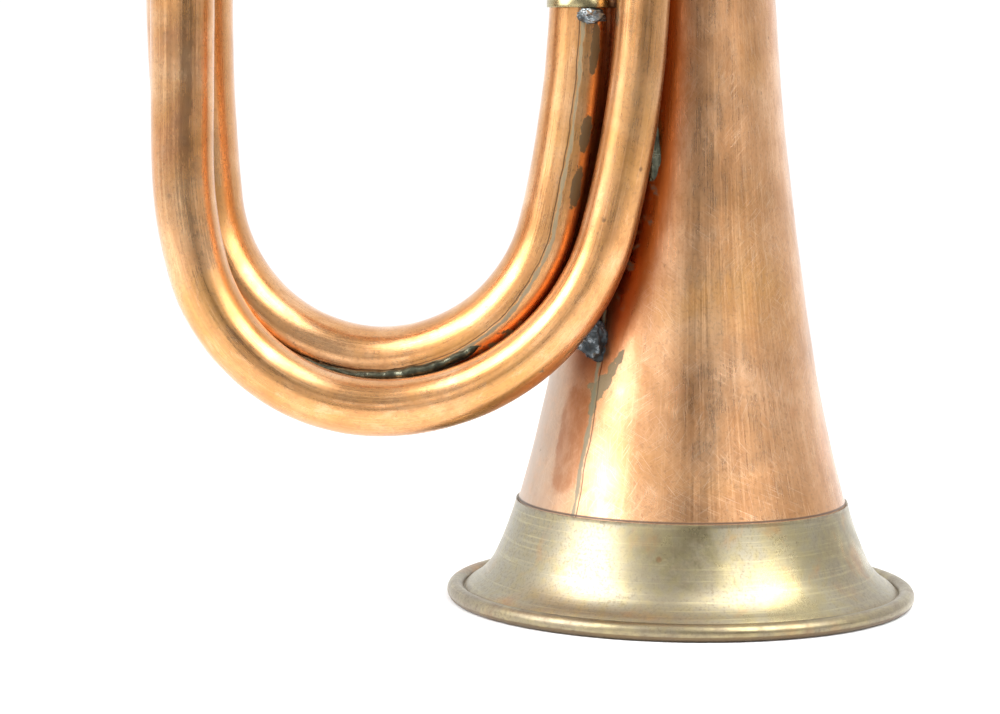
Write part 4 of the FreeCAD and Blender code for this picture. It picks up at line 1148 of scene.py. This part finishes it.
def make_camera():
    """The camera: yaw turns it left, pitch down and roll about its own axis, in degrees."""
    data = bpy.data.cameras.new("camera")
    data.lens, data.sensor_width = FOCAL, SENSOR
    data.clip_start, data.clip_end = 0.01, 50.0
    camera = bpy.data.objects.new("camera", data)
    bpy.context.scene.collection.objects.link(camera)
    yaw, pitch = math.radians(CAMERA_YAW), math.radians(CAMERA_PITCH)
    roll = math.radians(CAMERA_ROLL)
    forward = Vector((math.sin(yaw) * math.cos(pitch), math.cos(yaw) * math.cos(pitch),
                      -math.sin(pitch)))
    level = Vector((math.cos(yaw), -math.sin(yaw), 0.0))
    upright = level.cross(forward)
    right = level * math.cos(roll) + upright * math.sin(roll)
    up = upright * math.cos(roll) - level * math.sin(roll)
    turn = Matrix((right, up, -forward)).transposed()
    camera.matrix_world = Matrix.Translation(CAMERA_PLACE) @ turn.to_4x4()
    bpy.context.scene.camera = camera


# metres
FLOOR_RADIUS, FLOOR_MIDDLE, FLOOR_SIDES = 0.55, -0.04, 128


def make_floor():
    """A round white table top."""
    mesh = bpy.data.meshes.new("floor")
    turns = [TURN * k / FLOOR_SIDES for k in range(FLOOR_SIDES)]
    edge = [(FLOOR_RADIUS * math.cos(turn) + FLOOR_MIDDLE, FLOOR_RADIUS * math.sin(turn), 0.0)
            for turn in turns]
    mesh.from_pydata(edge, [], [tuple(range(FLOOR_SIDES))])
    floor = bpy.data.objects.new("floor", mesh)
    bpy.context.scene.collection.objects.link(floor)
    paint = Paint("floor_white", Roughness=0.8)
    grain = paint.noise(paint.place(), 30.0, 3.0)
    tone = paint.ramp(grain, (0.3, (0.86, 0.87, 0.89, 1.0)), (0.7, (0.88, 0.89, 0.9, 1.0)))
    mesh.materials.append(paint.finish(tone, 0.8))


# what the lamps aim at and how far from it they stand, in metres, and their spread
LAMP_AIM, LAMP_DISTANCE, LAMP_SPREAD = Vector((-0.02, 0.0, 0.07)), 1.0, 90.0


def softbox(name, azimuth, elevation, size, glow):
    """A lamp that faces the bugle; azimuth 0 is the camera's side, 90 is +X."""
    data = bpy.data.lights.new(name, "AREA")
    data.shape = "RECTANGLE"
    data.energy = glow * math.pi * size[0] * size[1]
    data.size, data.size_y = size
    data.spread = math.radians(LAMP_SPREAD)
    lamp = bpy.data.objects.new(name, data)
    bpy.context.scene.collection.objects.link(lamp)
    swing, lift = math.radians(azimuth), math.radians(elevation)
    way = Vector((math.sin(swing) * math.cos(lift), -math.cos(swing) * math.cos(lift),
                  math.sin(lift)))
    lamp.location = LAMP_AIM + way * LAMP_DISTANCE
    lamp.rotation_mode = "QUATERNION"
    lamp.rotation_quaternion = way.to_track_quat("Z", "Y")


# the room's grey from the side away from the dark one (0) round to the dark one (1), the
# dark side's azimuth in degrees, the strength of the room, and of the white backdrop
ROOM_GREYS = [(0.22, 0.62), (0.58, 0.36), (0.83, 0.28), (0.93, 0.13), (1.0, 0.11)]
DARK_SIDE, ROOM_STRENGTH, BACKDROP_STRENGTH = 18.0, 2.1, 1.05
# rays that climb from the first share to the second see the dark side less, by this much
LIFT_FROM, LIFT_TO, LIFT = 0.12, 0.5, 0.24


def make_world():
    """A white room with one darker side, a little right of where the camera stands."""
    world = bpy.data.worlds.new("studio")
    world.use_nodes = True
    bpy.context.scene.world = world
    nodes = Nodes(world.node_tree)
    ray = nodes.put("ShaderNodeTexCoord").outputs["Generated"]
    level = nodes.put("ShaderNodeVectorMath", {0: ray, 1: (1.0, 1.0, 0.0)},
                      operation="MULTIPLY")
    compass = nodes.put("ShaderNodeVectorMath", {0: level.outputs[0]},
                        operation="NORMALIZE")
    dark_side = math.radians(DARK_SIDE)
    toward = (math.sin(dark_side), -math.cos(dark_side), 0.0)
    facing = nodes.put("ShaderNodeVectorMath", {0: compass.outputs[0], 1: toward},
                       operation="DOT_PRODUCT")
    climb = nodes.put("ShaderNodeSeparateXYZ", {0: ray}).outputs["Z"]
    lift = nodes.fade(climb, LIFT_FROM, LIFT_TO, 0.0, LIFT, "LINEAR")
    raised = nodes.less(facing.outputs["Value"], lift)
    shade = nodes.fade(raised, -1.0, 1.0, 0.0, 1.0, "LINEAR")
    greys = [(place, (grey, grey, grey, 1.0)) for place, grey in ROOM_GREYS]
    room = nodes.tree.nodes["Background"]
    nodes.feed(room.inputs["Color"], nodes.ramp(shade, *greys))
    room.inputs["Strength"].default_value = ROOM_STRENGTH
    backdrop = nodes.put("ShaderNodeBackground", {
        "Color": (1.0, 1.0, 1.0, 1.0), "Strength": BACKDROP_STRENGTH})
    seen = nodes.put("ShaderNodeLightPath").outputs["Is Camera Ray"]
    mix = nodes.put("ShaderNodeMixShader", {0: seen, 1: room.outputs[0],
                                            2: backdrop.outputs[0]})
    output = nodes.tree.nodes["World Output"]
    nodes.feed(output.inputs["Surface"], mix.outputs[0])


make_camera()
make_floor()
make_world()
softbox("left_softbox", -62.0, 36.0, (0.6, 0.86), 2.6)
softbox("low_left_softbox", -18.0, 12.0, (0.6, 0.2), 0.5)
softbox("right_softbox", 58.0, 47.0, (0.84, 0.9), 1.9)
bpy.context.scene.view_settings.view_transform = "Standard"
